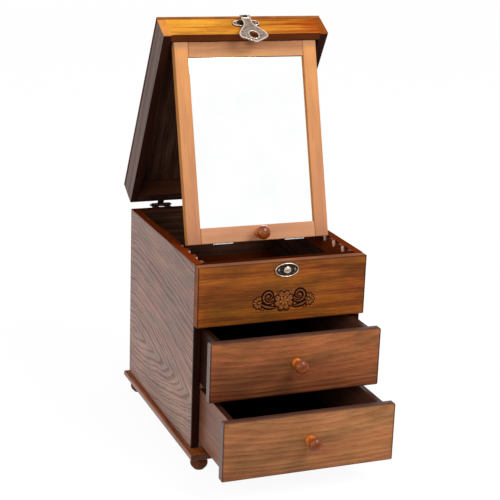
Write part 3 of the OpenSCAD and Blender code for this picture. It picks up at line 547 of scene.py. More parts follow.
# The fade paints the knobs lighter towards their stems: painted light, where the stem catches the light
# from above.
for name, grain, face, stain, coat, fade in (
        ("upper_drawer_knob", Y, Z, TURNED, 0.6, 0.5), ("lower_drawer_knob", Y, Z, TURNED, 0.6, 0.5),
        ("mirror_knob", MIRROR_Z, X, TURNED, 0.8, 0.4), ("feet", Z, Y, BRUSHED, 0.1, 0)):
    stained_ash(name, grain, face, stain, heart=(0, 0, 0), ring=3.0, warp=2, pore=0.3, contrast=0.3,
                mottle=0.5, fade=(fade, 0), edge=0, relief=0.03, gloss=0.02, coat=coat, roughness=0.35)
print("boards and turned pieces:", sum(m.name.startswith("stained_ash") for m in bpy.data.materials))

# %% [markdown]
# The latch is a zinc casting plated in antique silver. It was plated, blackened and rubbed back, so the
# high places shine and the low ones keep a dark film. That gives three metals: rubbed for rims and
# knob, worn for the flat of the hasp, and blackened for the ground of the plates. Noise with patches of
# 2 to 4 mm stands in for the film, as its real grain, a tenth of that, would not show.
# The hinges have a dark bronze plating, and the plain steel has only faint marks of rolling. A rough
# grey alone would look like paint, so in each of them both colour and roughness follow the film.
# - film is how much of the metal the dark film still covers, and pits is how deep the casting's pits
#   are, in mm.

# %% Plated and plain metal
PIT_WIDTH = 1.2 * MM


def plated_metal(name, bright, dark, patch, roughness, film, pits=0.04):
    """Metal with a dark film that has come off in patches, as wide as patch in mm."""
    material, tree, shader = new_material(name)
    place = add(tree, "ShaderNodeTexCoord").outputs["Object"]
    patches = add(tree, "ShaderNodeTexNoise", {"Vector": place, "Scale": 1 / (patch * MM), "Detail": 4.0,
                  "Roughness": 0.6})
    grain = add(tree, "ShaderNodeTexNoise", {"Vector": place, "Scale": 1 / PIT_WIDTH, "Detail": 2.0})
    wear_and_glint = add(tree, "ShaderNodeMapRange", {0: patches, 1: film - 0.18, 2: film + 0.18}, **SMOOTH)
    colour = add(tree, "ShaderNodeMix", {0: wear_and_glint, 6: linear(dark), 7: linear(bright)}, data_type="RGBA")
    rough = add(tree, "ShaderNodeMapRange", {0: wear_and_glint, 3: roughness + 0.2, 4: roughness}, **SMOOTH)
    bump = add(tree, "ShaderNodeBump", {"Height": grain, "Strength": 0.5, "Distance": pits * MM})
    plug(shader, {"Base Color": colour.outputs[2], "Roughness": rough, "Normal": bump, "Metallic": 1.0})
    return material


rubbed_silver = plated_metal("rubbed_silver_plating", "#ecd9c8", "#ae9a88", patch=2.5, roughness=0.22,
                             film=0.45)
worn_silver = plated_metal("worn_silver_plating", "#b4a094", "#645248", patch=3.0, roughness=0.34,
                           film=0.48, pits=0.1)
blackened_silver = plated_metal("blackened_silver_plating", "#6a5a4c", "#1c1410", patch=2.0,
                                roughness=0.4, film=0.55, pits=0.15)
dark_bronze = plated_metal("dark_bronze_plating", "#6a5c4c", "#2a221d", patch=4.0, roughness=0.4,
                           film=0.52)
rolled_steel = plated_metal("rolled_steel", "#c9c8c4", "#9a9892", patch=8.0, roughness=0.28, film=0.45)
dress(blackened_silver, "catch_plate", "hasp_plate")
dress(rubbed_silver, "catch_knob", "hasp_pin")
dress(worn_silver, "hasp")
dress(dark_bronze, "back_hinge_box_leaves", "back_hinge_lid_leaves", "back_hinge_pins",
      "mirror_hinge_lid_leaves", "mirror_hinge_frame_leaves", "mirror_hinge_pins")
dress(rolled_steel, "mirror_keepers", "mirror_knob_screw", "upper_drawer_knob_screw",
      "lower_drawer_knob_screw")
print("metals:", sum("plating" in m.name or "steel" in m.name for m in bpy.data.materials))

# %% [markdown]
# The mirror is float glass with silver behind it. It could be a glass sheet over a metal one, but from
# the front that is one smooth reflector, and light finds its way through one layer sooner. So it is
# polished metal with the glass's faint grey-green. Smudges only change the roughness a little.

# %% Silvered glass
SMUDGE_WIDTH = 45 * MM
silvered_glass, tree, shader = new_material("silvered_float_glass")
place = add(tree, "ShaderNodeTexCoord").outputs["Object"]
smudges = add(tree, "ShaderNodeTexNoise", {"Vector": place, "Scale": 1 / SMUDGE_WIDTH, "Detail": 3.0})
rough = add(tree, "ShaderNodeMapRange", {0: smudges, 1: 0.45, 2: 0.8, 3: 0.01, 4: 0.05})
tint = add(tree, "ShaderNodeValToRGB", {0: smudges}, stops=[(0.3, "#ffffff"), (0.8, "#fbfdfc")])
plug(shader, {"Base Color": tint, "Roughness": rough, "Metallic": 1.0})
dress(silvered_glass, "mirror_glass")
print("mirror_glass wears", nodes["mirror_glass"].material_slots[0].name)

# %% [markdown]
# Everything that follows is drawn flat, in millimetres right, up and out of a face, and then laid on
# that face by one matrix. It could be modelled piece by piece, but rims, leaves and screws repeat. So
# three small Geometry Nodes trees do the drawing: a stroke that follows a line, a ring of petals, and
# screws on points. All of them begin and end in the same way.

# %% Trees
def new_tree(name, **inputs):
    """A Geometry Nodes tree with a geometry input and named float inputs, and its group input."""
    tree = bpy.data.node_groups.new(name, "GeometryNodeTree")
    tree.interface.new_socket("Geometry", in_out="INPUT", socket_type="NodeSocketGeometry")
    tree.interface.new_socket("Geometry", in_out="OUTPUT", socket_type="NodeSocketGeometry")
    tree.interface.new_socket("Material", in_out="INPUT", socket_type="NodeSocketMaterial")
    for label, default in inputs.items():
        socket = tree.interface.new_socket(label, in_out="INPUT", socket_type="NodeSocketFloat")
        socket.default_value = default
    return tree, tree.nodes.new("NodeGroupInput").outputs


def end_tree(tree, geometry, given):
    """Smooth shading, instances made real, and the material."""
    smooth = add(tree, "GeometryNodeSetShadeSmooth", {0: geometry})
    real = add(tree, "GeometryNodeRealizeInstances", {0: smooth})
    painted = add(tree, "GeometryNodeSetMaterial", {0: real, "Material": given["Material"]})
    add(tree, "NodeGroupOutput", {0: painted})
    print(tree.name, "nodes:", len(tree.nodes))


print("trees so far:", len(bpy.data.node_groups))

# %% [markdown]
# A tree works on a mesh, so a seed mesh of points or of a line is put through it. Its inputs are set by
# the identifiers of their sockets, because two sockets may share a name. The result is copied to a
# plain mesh, and the seed goes, with its modifier.

# %% Seeds
def points_mesh(points, closed=False):
    """A mesh of points (right, up) in mm, joined into a line, which may be closed to a loop."""
    count = len(points)
    mesh = bpy.data.meshes.new("line")
    edges = [(i, (i + 1) % count) for i in range(count if closed else count - 1)]
    mesh.from_pydata([(x, y, 0) for x, y in points], edges, [])
    return mesh


def grow(tree, seed, material, **values):
    """The plain mesh that a tree makes from a seed mesh."""
    holder = bpy.data.objects.new("seed", seed)
    bpy.context.scene.collection.objects.link(holder)
    modifier = holder.modifiers.new("grow", "NODES")
    modifier.node_group = tree
    values["Material"] = material
    for item in tree.interface.items_tree:
        if item.in_out == "INPUT" and item.name in values:
            modifier[item.identifier] = values[item.name]
    bpy.context.view_layer.update()
    evaluated = holder.evaluated_get(bpy.context.evaluated_depsgraph_get())
    mesh = bpy.data.meshes.new_from_object(evaluated)
    bpy.data.objects.remove(holder)
    return mesh


print("meshes before the first seed:", len(bpy.data.meshes))

# %% [markdown]
# A piece joins what the trees have drawn. Each part could stay an object, but on the real box the rims
# and heads belong to one fitting, so they become one mesh. It keeps its metals or stains apart as
# material slots, and rides on one body of the model.

# %% Pieces
def face_matrix(origin, right, out):
    """Takes right, up and out of a face to the model's frame, in metres."""
    up = Vector(out).cross(Vector(right))
    return Matrix.Translation(origin) @ Matrix((right, up, out)).transposed().to_4x4()


def piece(name, parts, body):
    """Joins (mesh in mm, matrix) pairs into one named piece that rides on a body."""
    joined, materials = bmesh.new(), []
    for mesh, matrix in parts:
        mesh.transform(matrix @ Matrix.Scale(MM, 4))
        if matrix.determinant() < 0:
            mesh.flip_normals()
        before = len(joined.faces)
        joined.from_mesh(mesh)
        joined.faces.ensure_lookup_table()
        finish = next(material for material in mesh.materials if material)
        if finish not in materials:
            materials.append(finish)
        for face in joined.faces[before:]:
            face.material_index = materials.index(finish)
    result = bpy.data.meshes.new(name)
    joined.to_mesh(result)
    for material in materials:
        result.materials.append(material)
    thing = bpy.data.objects.new(name, result)
    bpy.context.scene.collection.objects.link(thing)
    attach(thing, body)
    print(name, len(result.polygons), "faces on", body)


print("up of the lid's front is", [round(v, 2) for v in face_matrix((0, 0, 0), X, -LID_Y).col[1][:3]])

# %% [markdown]
# Rims of a casting and stems of a carving are both ridges along a line. They could be bevelled from
# edges, but a profile swept along the line keeps its width round every corner. Its ends can taper, and
# it is pressed flat, so that it reads as a rim, a stem or a curling leaf.

# %% Tree: a stroke
LINE_POINTS, ROUND_POINTS = 90, 10
THINNEST, FULLNESS = 0.08, 0.55  # of a tapered stroke: its tips, and how soon it is wide

stroke, given = new_tree("stroke", Width=1.0, Height=1.0, Taper=0.0)
curve = add(stroke, "GeometryNodeMeshToCurve", {0: given["Geometry"]})
even = add(stroke, "GeometryNodeResampleCurve", {0: curve, "Count": LINE_POINTS})
along = add(stroke, "GeometryNodeSplineParameter").outputs["Factor"]
arch = add(stroke, "ShaderNodeMath", {0: along, 1: math.pi}, operation="MULTIPLY")
swell = add(stroke, "ShaderNodeMath", {0: arch}, operation="SINE")
bulge = add(stroke, "ShaderNodeMath", {0: swell, 1: FULLNESS}, operation="POWER")
share = add(stroke, "ShaderNodeMix", {0: given["Taper"], 2: 1.0, 3: bulge})
width = add(stroke, "ShaderNodeMath", {0: share, 1: THINNEST}, operation="MAXIMUM")
wide = add(stroke, "ShaderNodeMath", {0: width, 1: given["Width"]}, operation="MULTIPLY")
profile = add(stroke, "GeometryNodeCurvePrimitiveCircle", {"Resolution": ROUND_POINTS, "Radius": 1.0})
swept = add(stroke, "GeometryNodeCurveToMesh", {0: even, "Profile Curve": profile, "Scale": wide,
            "Fill Caps": True})
flat = add(stroke, "ShaderNodeMath", {0: given["Height"], 1: given["Width"]}, operation="DIVIDE")
pressed = add(stroke, "ShaderNodeCombineXYZ", {"X": 1.0, "Y": 1.0, "Z": flat})
end_tree(stroke, add(stroke, "GeometryNodeTransform", {0: swept, "Scale": pressed}), given)

# %% [markdown]
# A carver cuts each petal with two strokes of a gouge that meet in a crease. Sculpting them one by one
# would take long and never be even, so a ball is drawn out to a leaf, its middle line is pushed in,
# and the leaf is set around a centre. Start and sweep are angles, so the same tree makes a full flower
# and a fan. One petal at no distance is a bud.

# %% Tree: petals around a centre
FULL_TURN = 6.2832
CREASE_REACH = 0.16  # of a petal's width, to each side of its middle line

petals, given = new_tree("petals", Count=6.0, Distance=5.0, Start=0.0, Sweep=FULL_TURN, Length=6.0,
                         Width=3.0, Height=1.5, Crease=0.3)
ball = add(petals, "GeometryNodeMeshUVSphere", {"Segments": 20, "Rings": 12, "Radius": 0.5})
at = add(petals, "ShaderNodeSeparateXYZ", {0: add(petals, "GeometryNodeInputPosition")}).outputs
off_middle = add(petals, "ShaderNodeMath", {0: at["Y"]}, operation="ABSOLUTE")
valley = add(petals, "ShaderNodeMapRange", {0: off_middle, 1: 0.0, 2: CREASE_REACH, 3: 1.0, 4: 0.0})
lowered = add(petals, "ShaderNodeMath", {0: valley, 1: given["Crease"]}, operation="MULTIPLY")
kept = add(petals, "ShaderNodeMath", {0: 1.0, 1: lowered}, operation="SUBTRACT")
creased_z = add(petals, "ShaderNodeMath", {0: at["Z"], 1: kept}, operation="MULTIPLY")
creased = add(petals, "ShaderNodeCombineXYZ", {"X": at["X"], "Y": at["Y"], "Z": creased_z})
leaf = add(petals, "GeometryNodeSetPosition", {0: ball, "Position": creased})
tall = add(petals, "ShaderNodeMath", {0: given["Height"], 1: 2.0}, operation="MULTIPLY")
size = add(petals, "ShaderNodeCombineXYZ", {"X": given["Length"], "Y": given["Width"], "Z": tall})
shaped = add(petals, "GeometryNodeTransform", {0: leaf, "Scale": size})
whole = add(petals, "FunctionNodeFloatToInt", {0: given["Count"]})
dots = add(petals, "GeometryNodePoints", {"Count": whole})
step = add(petals, "ShaderNodeMath", {0: given["Sweep"], 1: given["Count"]}, operation="DIVIDE")
number = add(petals, "GeometryNodeInputIndex")
angle = add(petals, "ShaderNodeMath", {0: number, 1: step, 2: given["Start"]}, operation="MULTIPLY_ADD")
cosine = add(petals, "ShaderNodeMath", {0: angle}, operation="COSINE")
sine = add(petals, "ShaderNodeMath", {0: angle}, operation="SINE")
direction = add(petals, "ShaderNodeCombineXYZ", {"X": cosine, "Y": sine})
spot = add(petals, "ShaderNodeVectorMath", {0: direction, "Scale": given["Distance"]}, operation="SCALE")
ring = add(petals, "GeometryNodeSetPosition", {0: dots, "Position": spot})
turn = add(petals, "ShaderNodeCombineXYZ", {"Z": angle})
around = add(petals, "GeometryNodeInstanceOnPoints", {0: ring, "Instance": shaped, "Rotation": turn})
end_tree(petals, around, given)

# %% [markdown]
# Of a screw only its head shows: a low dome with a cross in it. The cross could be a bump, but close up
# its edges catch the light, so two bars are cut out of the dome. One head is set on every point, and
# turned by chance, as hands leave them. The chance's seed is fixed, so each run gives the same scene.

# %% Tree: cross-head screws on points
CHANCE_SEED = 7
DOME_HEIGHT = 0.45  # these and the cross are shares of the head's radius
CROSS_LENGTH, CROSS_WIDTH, CROSS_DEPTH, CROSS_MIDDLE = 1.3, 0.26, 0.5, 0.4

screws, given = new_tree("screws", Radius=2.0)
dome = add(screws, "GeometryNodeMeshUVSphere", {"Segments": 24, "Rings": 16, "Radius": 1.0})
low_dome = add(screws, "GeometryNodeTransform", {0: dome, "Scale": (1, 1, DOME_HEIGHT)})
cut = add(screws, "GeometryNodeMeshBoolean", {"Mesh 1": low_dome}, operation="DIFFERENCE", solver="EXACT")
for length, width in ((CROSS_LENGTH, CROSS_WIDTH), (CROSS_WIDTH, CROSS_LENGTH)):
    bar = add(screws, "GeometryNodeMeshCube", {"Size": (length, width, CROSS_DEPTH)})
    lifted = add(screws, "GeometryNodeTransform", {0: bar, "Translation": (0, 0, CROSS_MIDDLE)})
    plug(cut, {"Mesh 2": lifted})
chance = add(screws, "FunctionNodeRandomValue", {"Seed": CHANCE_SEED}).outputs[1]
quarter = add(screws, "ShaderNodeMath", {0: chance, 1: math.pi / 2}, operation="MULTIPLY")
twist = add(screws, "ShaderNodeCombineXYZ", {"Z": quarter})
radius = add(screws, "ShaderNodeCombineXYZ", {axis: given["Radius"] for axis in "XYZ"})
placed = add(screws, "GeometryNodeInstanceOnPoints", {0: given["Geometry"], "Instance": cut,
             "Rotation": twist, "Scale": radius})
end_tree(screws, placed, given)

# %% [markdown]
# The board above the drawers carries a carved ornament. A carver cuts the ground away and leaves the
# relief, stain gathers in the low places, which also lie in shade, and hands rub the tops nearly back to
# the colour of the board. Ambient occlusion could find the low places, but height over the board is
# simpler and is exact here. So the relief's colour follows its height, dark low down with stain and
# painted shade, and a second, almost black sheet of stain and painted shade lies around it.

# %% Finishes of the carving
RELIEF = 1.9 * MM
WEAR_WIDTH, CLOUD_WIDTH = 2.5 * MM, 3 * MM


def carved_wood():
    """Ash stained dark, with painted shade, at the ground and pale on the tops, where hands wore it."""
    material, tree, shader = new_material("rubbed_and_shaded_carving")
    place = add(tree, "ShaderNodeTexCoord").outputs["Object"]
    depth = add(tree, "ShaderNodeSeparateXYZ", {0: place}).outputs["Y"]
    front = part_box("front_board")[0][1]
    height = add(tree, "ShaderNodeMapRange", {0: depth, 1: front, 2: front - RELIEF})
    wear = add(tree, "ShaderNodeTexNoise", {"Vector": place, "Scale": 1 / WEAR_WIDTH, "Detail": 3.0})
    wear_and_shade = add(tree, "ShaderNodeMath", {0: wear, 1: 0.5, 2: height}, operation="MULTIPLY_ADD")
    # Low places are dark with stain and painted shade, and the tops are pale with wear.
    colour = add(tree, "ShaderNodeValToRGB", {0: wear_and_shade},
                 stops=[(0.35, "#160602"), (0.75, "#6a3410"), (1.0, "#98581c")])
    rough = add(tree, "ShaderNodeMapRange", {0: height, 3: 0.6, 4: 0.34}, **SMOOTH)
    bump = add(tree, "ShaderNodeBump", {"Height": wear, "Strength": 0.4, "Distance": 0.15 * MM})
    plug(shader, {"Base Color": colour, "Roughness": rough, "Normal": bump, "Specular IOR Level": 0.1,
                  "Coat Weight": 0.25})
    return material


def gathered_stain_and_shade():
    """The dark stain and painted shade around the carving, a little uneven."""
    material, tree, shader = new_material("gathered_stain_and_shade")
    place = add(tree, "ShaderNodeTexCoord").outputs["Object"]
    cloud = add(tree, "ShaderNodeTexNoise", {"Vector": place, "Scale": 1 / CLOUD_WIDTH, "Detail": 2.0})
    colour = add(tree, "ShaderNodeValToRGB", {0: cloud}, stops=[(0.3, "#0a0301"), (0.75, "#1e0a04")])
    rough = add(tree, "ShaderNodeMapRange", {0: cloud, **NOISE, 3: 0.45, 4: 0.6}, **SMOOTH)
    plug(shader, {"Base Color": colour, "Roughness": rough, "Specular IOR Level": 0.03})
    return material


carving, dark_stain_and_shade = carved_wood(), gathered_stain_and_shade()
print("finishes of the carving:", carving.name, "and", dark_stain_and_shade.name)

# %% [markdown]
# The ornament is common scrollwork: a double flower between two scrolls, each with a leaf under it and a
# fan at its end. It could be a height map on the board, but then its outline would be soft from the
# side. So each form is drawn twice, once in relief, and once wider and almost flat in the dark stain
# and painted shade.
# The scrolls are drawn for the right side and mirrored for the left. The whole sits 1.6 mm off the
# board's middle, as a hand sets it, with its centre 59.5 mm under the upper edge.

# %% Carved ornament
OFF_MIDDLE, UNDER_EDGE = 1.6 * MM, 59.5 * MM
FAN_PLACE, TIP_PLACE = (38.5 * MM, -0.5 * MM, 0), (32.5 * MM, -9.0 * MM, 0)


def arc(centre, radii, angles, steps=40):
    """Points of a spiral: radius and angle in degrees go evenly from first to last."""
    points = []
    for i in range(steps + 1):
        radius, angle = (start + (end - start) * i / steps for start, end in (radii, angles))
        turned = math.radians(angle)
        points.append((centre[0] + radius * math.cos(turned), centre[1] + radius * math.sin(turned)))
    return points


def carve(tree, places, grown, flat, line=((0, 0),), **sizes):
    """Parts that draw a form in relief and, grown by some mm and flat, in dark stain and painted shade."""
    wider = {key: size + grown if key in ("Width", "Length") else size for key, size in sizes.items()}
    wider["Height"] = flat
    for place in places:
        ornament.append((grow(tree, points_mesh(line), carving, **sizes), place))
        ornament.append((grow(tree, points_mesh(line), dark_stain_and_shade, **wider), place))


ornament = []
(left, front, _), (right, _, upper_edge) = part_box("front_board")
here = face_matrix(((left + right) / 2 + OFF_MIDDLE, front, upper_edge - UNDER_EDGE), X, -Y)
both = [here, here @ Matrix.Diagonal((-1, 1, 1, 1))]
fans = [side @ Matrix.Translation(FAN_PLACE) for side in both]
tips = [side @ Matrix.Translation(TIP_PLACE) for side in both]

carve(petals, [here], grown=2.6, flat=0.35, Count=8.0, Distance=10.4, Start=0.39, Length=10.5, Width=8.6,
      Height=1.5, Crease=0.35)
carve(petals, [here], grown=0.9, flat=1.35, Count=6.0, Distance=4.6, Start=0.2, Length=7.2, Width=4.4,
      Height=2.3, Crease=0.4)
carve(petals, [here], grown=0.7, flat=2.0, Count=1.0, Distance=0.0, Length=3.4, Width=3.4, Height=2.7,
      Crease=0.0)
scroll = arc(centre=(23.5, 7.5), radii=(11.0, 2.2), angles=(-150, 330))
carve(stroke, both, grown=2.4, flat=0.35, line=scroll, Width=1.6, Height=1.2, Taper=0.7)
stem = arc(centre=(20, 26), radii=(36, 32), angles=(-103, -52))
carve(stroke, both, grown=2.2, flat=0.3, line=stem, Width=1.8, Height=1.2, Taper=1.0)
carve(petals, both, grown=0.8, flat=0.3, Count=1.0, Distance=15.5, Start=0.95, Length=6.5, Width=3.2,
      Height=1.3, Crease=0.4)
carve(petals, fans, grown=1.8, flat=0.3, Count=7.0, Distance=6.2, Start=-1.8, Sweep=4.2, Length=7.4,
      Width=3.9, Height=1.5, Crease=0.3)
carve(petals, fans, grown=0.8, flat=0.3, Count=1.0, Distance=0.0, Length=4.6, Width=4.2, Height=1.9,
      Crease=0.0)
carve(petals, tips, grown=0.8, flat=0.3, Count=2.0, Distance=1.6, Start=-1.9, Sweep=2.0, Length=5.0,
      Width=2.8, Height=1.2, Crease=0.3)
piece("front_ornament", ornament, "carcass")

# %% [markdown]
# A loop is a list of points around an edge. Three things are asked of it: how long it is, where its
# middle is, and where a line runs that keeps a distance to it. A scaled copy would not keep its distance
# at the waists of the latch's plates, so each point moves inwards by itself.

# %% Loops
def loop_length(loop):
    """Length around a loop in mm."""
    return sum((b - a).length for a, b in zip(loop, loop[1:] + loop[:1]))


def loop_middle(loop):
    """Middle of a loop's bounding box."""
    return [(min(p[i] for p in loop) + max(p[i] for p in loop)) / 2 for i in (0, 1)]


def inside(loop, distance):
    """The loop moved to its left, which is inwards for an outer outline, as face loops turn left."""
    moved = []
    for before, point, after in zip(loop[-1:] + loop[:-1], loop, loop[1:] + loop[:1]):
        way = ((point - before).normalized() + (after - point).normalized()).normalized()
        moved.append((point.x - way.y * distance, point.y + way.x * distance))
    return moved


square = [Vector(corner) for corner in ((0, 0), (10, 0), (10, 10), (0, 10))]
print("a square of 10 mm:", loop_length(square), "mm around, middle", loop_middle(square))

# %% [markdown]
# The rims of the latch follow the outlines of its plates. They could be drawn once more by hand, but
# would miss the plates as soon as those change. So they are read from the solids: of all flat faces
# that look one way, the largest plane is taken, and its free edges are chained into loops. An edge is
# free if no neighbour runs along it the other way. The latch sits 4 mm right of the box's middle.

# %% Outlines of flat faces
LATCH_RIGHT = 4 * MM


def outlines(name, matrix):
    """Loops of (right, up) points in mm around the largest plane that faces out of the matrix."""
    mesh, inverse, planes = nodes[name].data, matrix.inverted(), {}
    flat_points = [inverse @ vertex.co / MM for vertex in mesh.vertices]
    for polygon in mesh.polygons:
        a, b, c = [flat_points[i] for i in polygon.vertices[:3]]
        if (b - a).cross(c - a).normalized().z > 0.999:
            planes.setdefault(round(a.z, 1), []).append(polygon)
    faces = max(planes.values(), key=lambda some: sum(polygon.area for polygon in some))
    key = {i: tuple(round(v, 2) for v in flat_points[i]) for polygon in faces for i in polygon.vertices}
    follows = {}
    for polygon in faces:
        corners = [key[i] for i in polygon.vertices]
        for start, end in zip(corners, corners[1:] + corners[:1]):
            follows.setdefault(start, set()).add(end)
    free = {}
    for start, ends in follows.items():
        for end in ends:
            if start not in follows.get(end, ()):
                free.setdefault(start, end)
    loops = []
    while free:
        start, point = free.popitem()
        loop = [start]
        while point in free:
            loop.append(point)
            point = free.pop(point)
        loops.append([Vector(corner[:2]) for corner in loop])
    return sorted(loops, key=loop_length, reverse=True), max(corner[2] for corner in key.values())


lid_front_of = face_matrix((LATCH_RIGHT, 0, 0), X, -LID_Y)
board_front_of = face_matrix((LATCH_RIGHT, 0, 0), X, -Y)
catch_loops, catch_level = outlines("catch_plate", board_front_of)
plate_loops, plate_level = outlines("hasp_plate", lid_front_of)
hasp_loops, hasp_level = outlines("hasp", lid_front_of)
for loops in (catch_loops, plate_loops, hasp_loops):
    print("loops of", [round(loop_length(loop), 1) for loop in loops], "mm")

# %% [markdown]
# With the outlines in hand, rims and screws go on the latch. The casting's rims could be faces of the
# solids, but they are finer than those and round, so a rim is a stroke along a loop, a little inside
# it. It is of the rubbed, bright metal, and catches the light as a line around the dark ground of its
# plate. The hasp's rim stops 2.6 mm short of its hinge, so that the hasp can swing all the way over.

# %% Rims and screws of the latch
SHORT_OF_HINGE, SCREWS_ABOVE_EDGE = 2.6, 8.5


def raised(matrix, level):
    """The matrix moved out to a plate's face, whose level is in mm."""
    return matrix @ Matrix.Translation((0, 0, level * MM))


def rim(loop, matrix, material, inset, width, height, top=math.inf):
    """A rim along a loop, as a part for piece(). Nothing of its line is higher than top."""
    line = points_mesh([(x, min(y, top)) for x, y in inside(loop, inset)], closed=True)
    return grow(stroke, line, material, Width=width, Height=height), matrix


def two_screws(middle, up, matrix, aside, radius):
    """Screws to the left and right of a middle, as a part for piece()."""
    spots = points_mesh([(middle - aside, up), (middle + aside, up)])
    return grow(screws, spots, worn_silver, Radius=radius), matrix


catch_face = raised(board_front_of, catch_level)
x, y = loop_middle(catch_loops[0])
piece("catch_trim", [
    rim(catch_loops[0], catch_face, rubbed_silver, inset=1.1, width=0.9, height=1.0),
    rim(catch_loops[0], catch_face, blackened_silver, inset=3.4, width=0.6, height=0.5),
    two_screws(x, y, catch_face, aside=12.5, radius=2.1),
], "carcass")

plate_face = raised(lid_front_of, plate_level)
x, y = loop_middle(plate_loops[0])
lower_edge = min(point.y for point in plate_loops[0])
piece("hasp_plate_trim", [
    rim(plate_loops[0], plate_face, rubbed_silver, inset=1.2, width=1.0, height=0.9),
    two_screws(x, lower_edge + SCREWS_ABOVE_EDGE, plate_face, aside=15.5, radius=2.0),
], "lid")

hasp_face = raised(lid_front_of, hasp_level)
below_hinge = max(point.y for point in hasp_loops[0]) - SHORT_OF_HINGE
piece("hasp_trim", [
    rim(hasp_loops[0], hasp_face, rubbed_silver, inset=1.2, width=1.1, height=0.8, top=below_hinge),
    rim(hasp_loops[1], hasp_face, rubbed_silver, inset=1.2, width=0.9, height=0.8),
], "hasp")

# %% [markdown]
# The leaves of the back hinges have two screws each, and so have the two wear plates under the mirror's
# foot. Their places could be typed in, but leaves are found in the same way as the latch's plates, as
# the loops of the faces that look out of the wood. Loops that are narrower than 20 mm are knuckles and
# get no screws.

# %% Screws of hinges and wear plates
NARROWEST_LEAF = 20


def leaf_screws(name, node, out, body, material, spread=0.3, radius=2.2):
    """Two screws on each flat leaf of a node, spread by a share of its length."""
    matrix = face_matrix((0, 0, 0), -X, out)
    loops, level = outlines(node, matrix)
    spots = []
    for loop in loops:
        x, y = loop_middle(loop)
        wide = max(p.x for p in loop) - min(p.x for p in loop)
        if wide > NARROWEST_LEAF:
            spots += [(x - wide * spread, y), (x + wide * spread, y)]
    print(node, "screws at", [(round(x), round(y)) for x, y in spots])
    heads = grow(screws, points_mesh(spots), material, Radius=radius)
    piece(name, [(heads, raised(matrix, level))], body)


leaf_screws("back_hinge_box_screws", "back_hinge_box_leaves", Y, "carcass", dark_bronze)
leaf_screws("back_hinge_lid_screws", "back_hinge_lid_leaves", LID_Y, "lid", dark_bronze)
leaf_screws("keeper_screws", "mirror_keepers", MIRROR_Y, "mirror", rolled_steel, spread=0.32,
            radius=1.6)

# %% [markdown]
# The floor and the backdrop are white. Lamps strong enough for that would flood the box. So to the
# camera, and in reflections, they are white by a light of their own, while for everything else they
# are matt. The box keeps a soft shadow, and no extra light falls on the wood. A studio is dark
# behind the camera, so in reflections the floor fades to dim between 0.3 and 0.8 m in front of the
# box's middle. Without that, the lacquer looks milky.

# %% Floor and backdrop
FLOOR_HALF = 6.0
WHITE_GLOW, DIM_GLOW = 1.06, 0.2
GLOW_SHARE = 0.88  # the rest is the lit floor, with the box's shadow on it
DIM_FROM, DIM_TO = -0.3, -0.8
WORLD_LIGHT = 0.5


def seen_directly(tree):
    """1 for rays from the camera, from gloss and through glass, else 0."""
    path = add(tree, "ShaderNodeLightPath").outputs
    first = add(tree, "ShaderNodeMath", {0: path["Is Camera Ray"], 1: path["Is Glossy Ray"]},
                operation="MAXIMUM")
    return add(tree, "ShaderNodeMath", {0: first, 1: path["Is Transmission Ray"]}, operation="MAXIMUM")


world = bpy.data.worlds.new("studio")
bpy.context.scene.world = world
world.use_nodes = True
seen = seen_directly(world.node_tree)
strength = add(world.node_tree, "ShaderNodeMapRange", {0: seen, 3: WORLD_LIGHT, 4: 1.0})
plug(world.node_tree.nodes["Background"], {"Color": (1, 1, 1, 1), "Strength": strength})

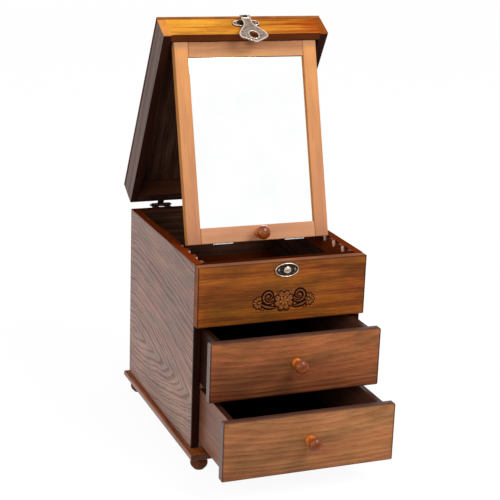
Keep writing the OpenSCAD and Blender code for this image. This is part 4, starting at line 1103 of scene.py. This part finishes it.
floor_material, tree, shader = new_material("matt_white_floor")
plug(shader, {"Base Color": linear("#f2f2f2"), "Roughness": 0.9})
place = add(tree, "ShaderNodeSeparateXYZ", {0: add(tree, "ShaderNodeTexCoord").outputs["Object"]})
in_front = add(tree, "ShaderNodeMapRange", {0: place.outputs["Y"], 1: DIM_FROM, 2: DIM_TO}, **SMOOTH)
glossy = add(tree, "ShaderNodeLightPath").outputs["Is Glossy Ray"]
unlit = add(tree, "ShaderNodeMath", {0: in_front, 1: glossy}, operation="MULTIPLY")
white = add(tree, "ShaderNodeMapRange", {0: unlit, 3: WHITE_GLOW, 4: DIM_GLOW})
glow = add(tree, "ShaderNodeEmission", {"Color": (1, 1, 1, 1), "Strength": white})
share = add(tree, "ShaderNodeMath", {0: seen_directly(tree), 1: GLOW_SHARE}, operation="MULTIPLY")
mixed = add(tree, "ShaderNodeMixShader", {0: share, 1: shader, 2: glow})
plug(tree.nodes["Material Output"], {"Surface": mixed})

corners = [(x * FLOOR_HALF, y * FLOOR_HALF, 0) for x, y in ((-1, -1), (1, -1), (1, 1), (-1, 1))]
floor_mesh = bpy.data.meshes.new("floor")
floor_mesh.from_pydata(corners, [], [(0, 1, 2, 3)])
floor_mesh.materials.append(floor_material)
floor = bpy.data.objects.new("floor", floor_mesh)
bpy.context.scene.collection.objects.link(floor)
print("floor:", [2 * FLOOR_HALF] * 2, "m")

# %% [markdown]
# Two large soft lamps light the box: a key from the upper right in front, whose shadows fall to the left
# as under a softbox, and a weaker fill from the left. A third, small one near the camera only puts
# sharp sparks on knobs and metal. Their power could be found by trying. It is worked out from the light
# that a white card would send back, so the wood shows in about the colours that were written for it.

# %% Lamps
BOX_MIDDLE = Vector((0, 0, 0.3))


def soft_lamp(name, place, size, white_card):
    """Square lamp that alone makes a white card in the box's middle look as bright as white_card."""
    data = bpy.data.lights.new(name, "AREA")
    data.size = size
    towards = BOX_MIDDLE - Vector(place)
    # Of an area lamp's power, a card sends back one part in pi * pi * distance * distance.
    data.energy = white_card * math.pi ** 2 * towards.length_squared
    lamp = bpy.data.objects.new(name, data)
    lamp.location = place
    lamp.rotation_euler = towards.to_track_quat("-Z", "Y").to_euler()
    bpy.context.scene.collection.objects.link(lamp)
    print(name, "lamp:", round(data.energy, 1), "W")


soft_lamp("key", (1.1, -1.7, 2.1), size=1.3, white_card=0.55)
soft_lamp("fill", (-1.9, -1.2, 0.8), size=1.6, white_card=0.2)
soft_lamp("sparkle", (-0.9, -1.9, 1.5), size=0.16, white_card=0.06)
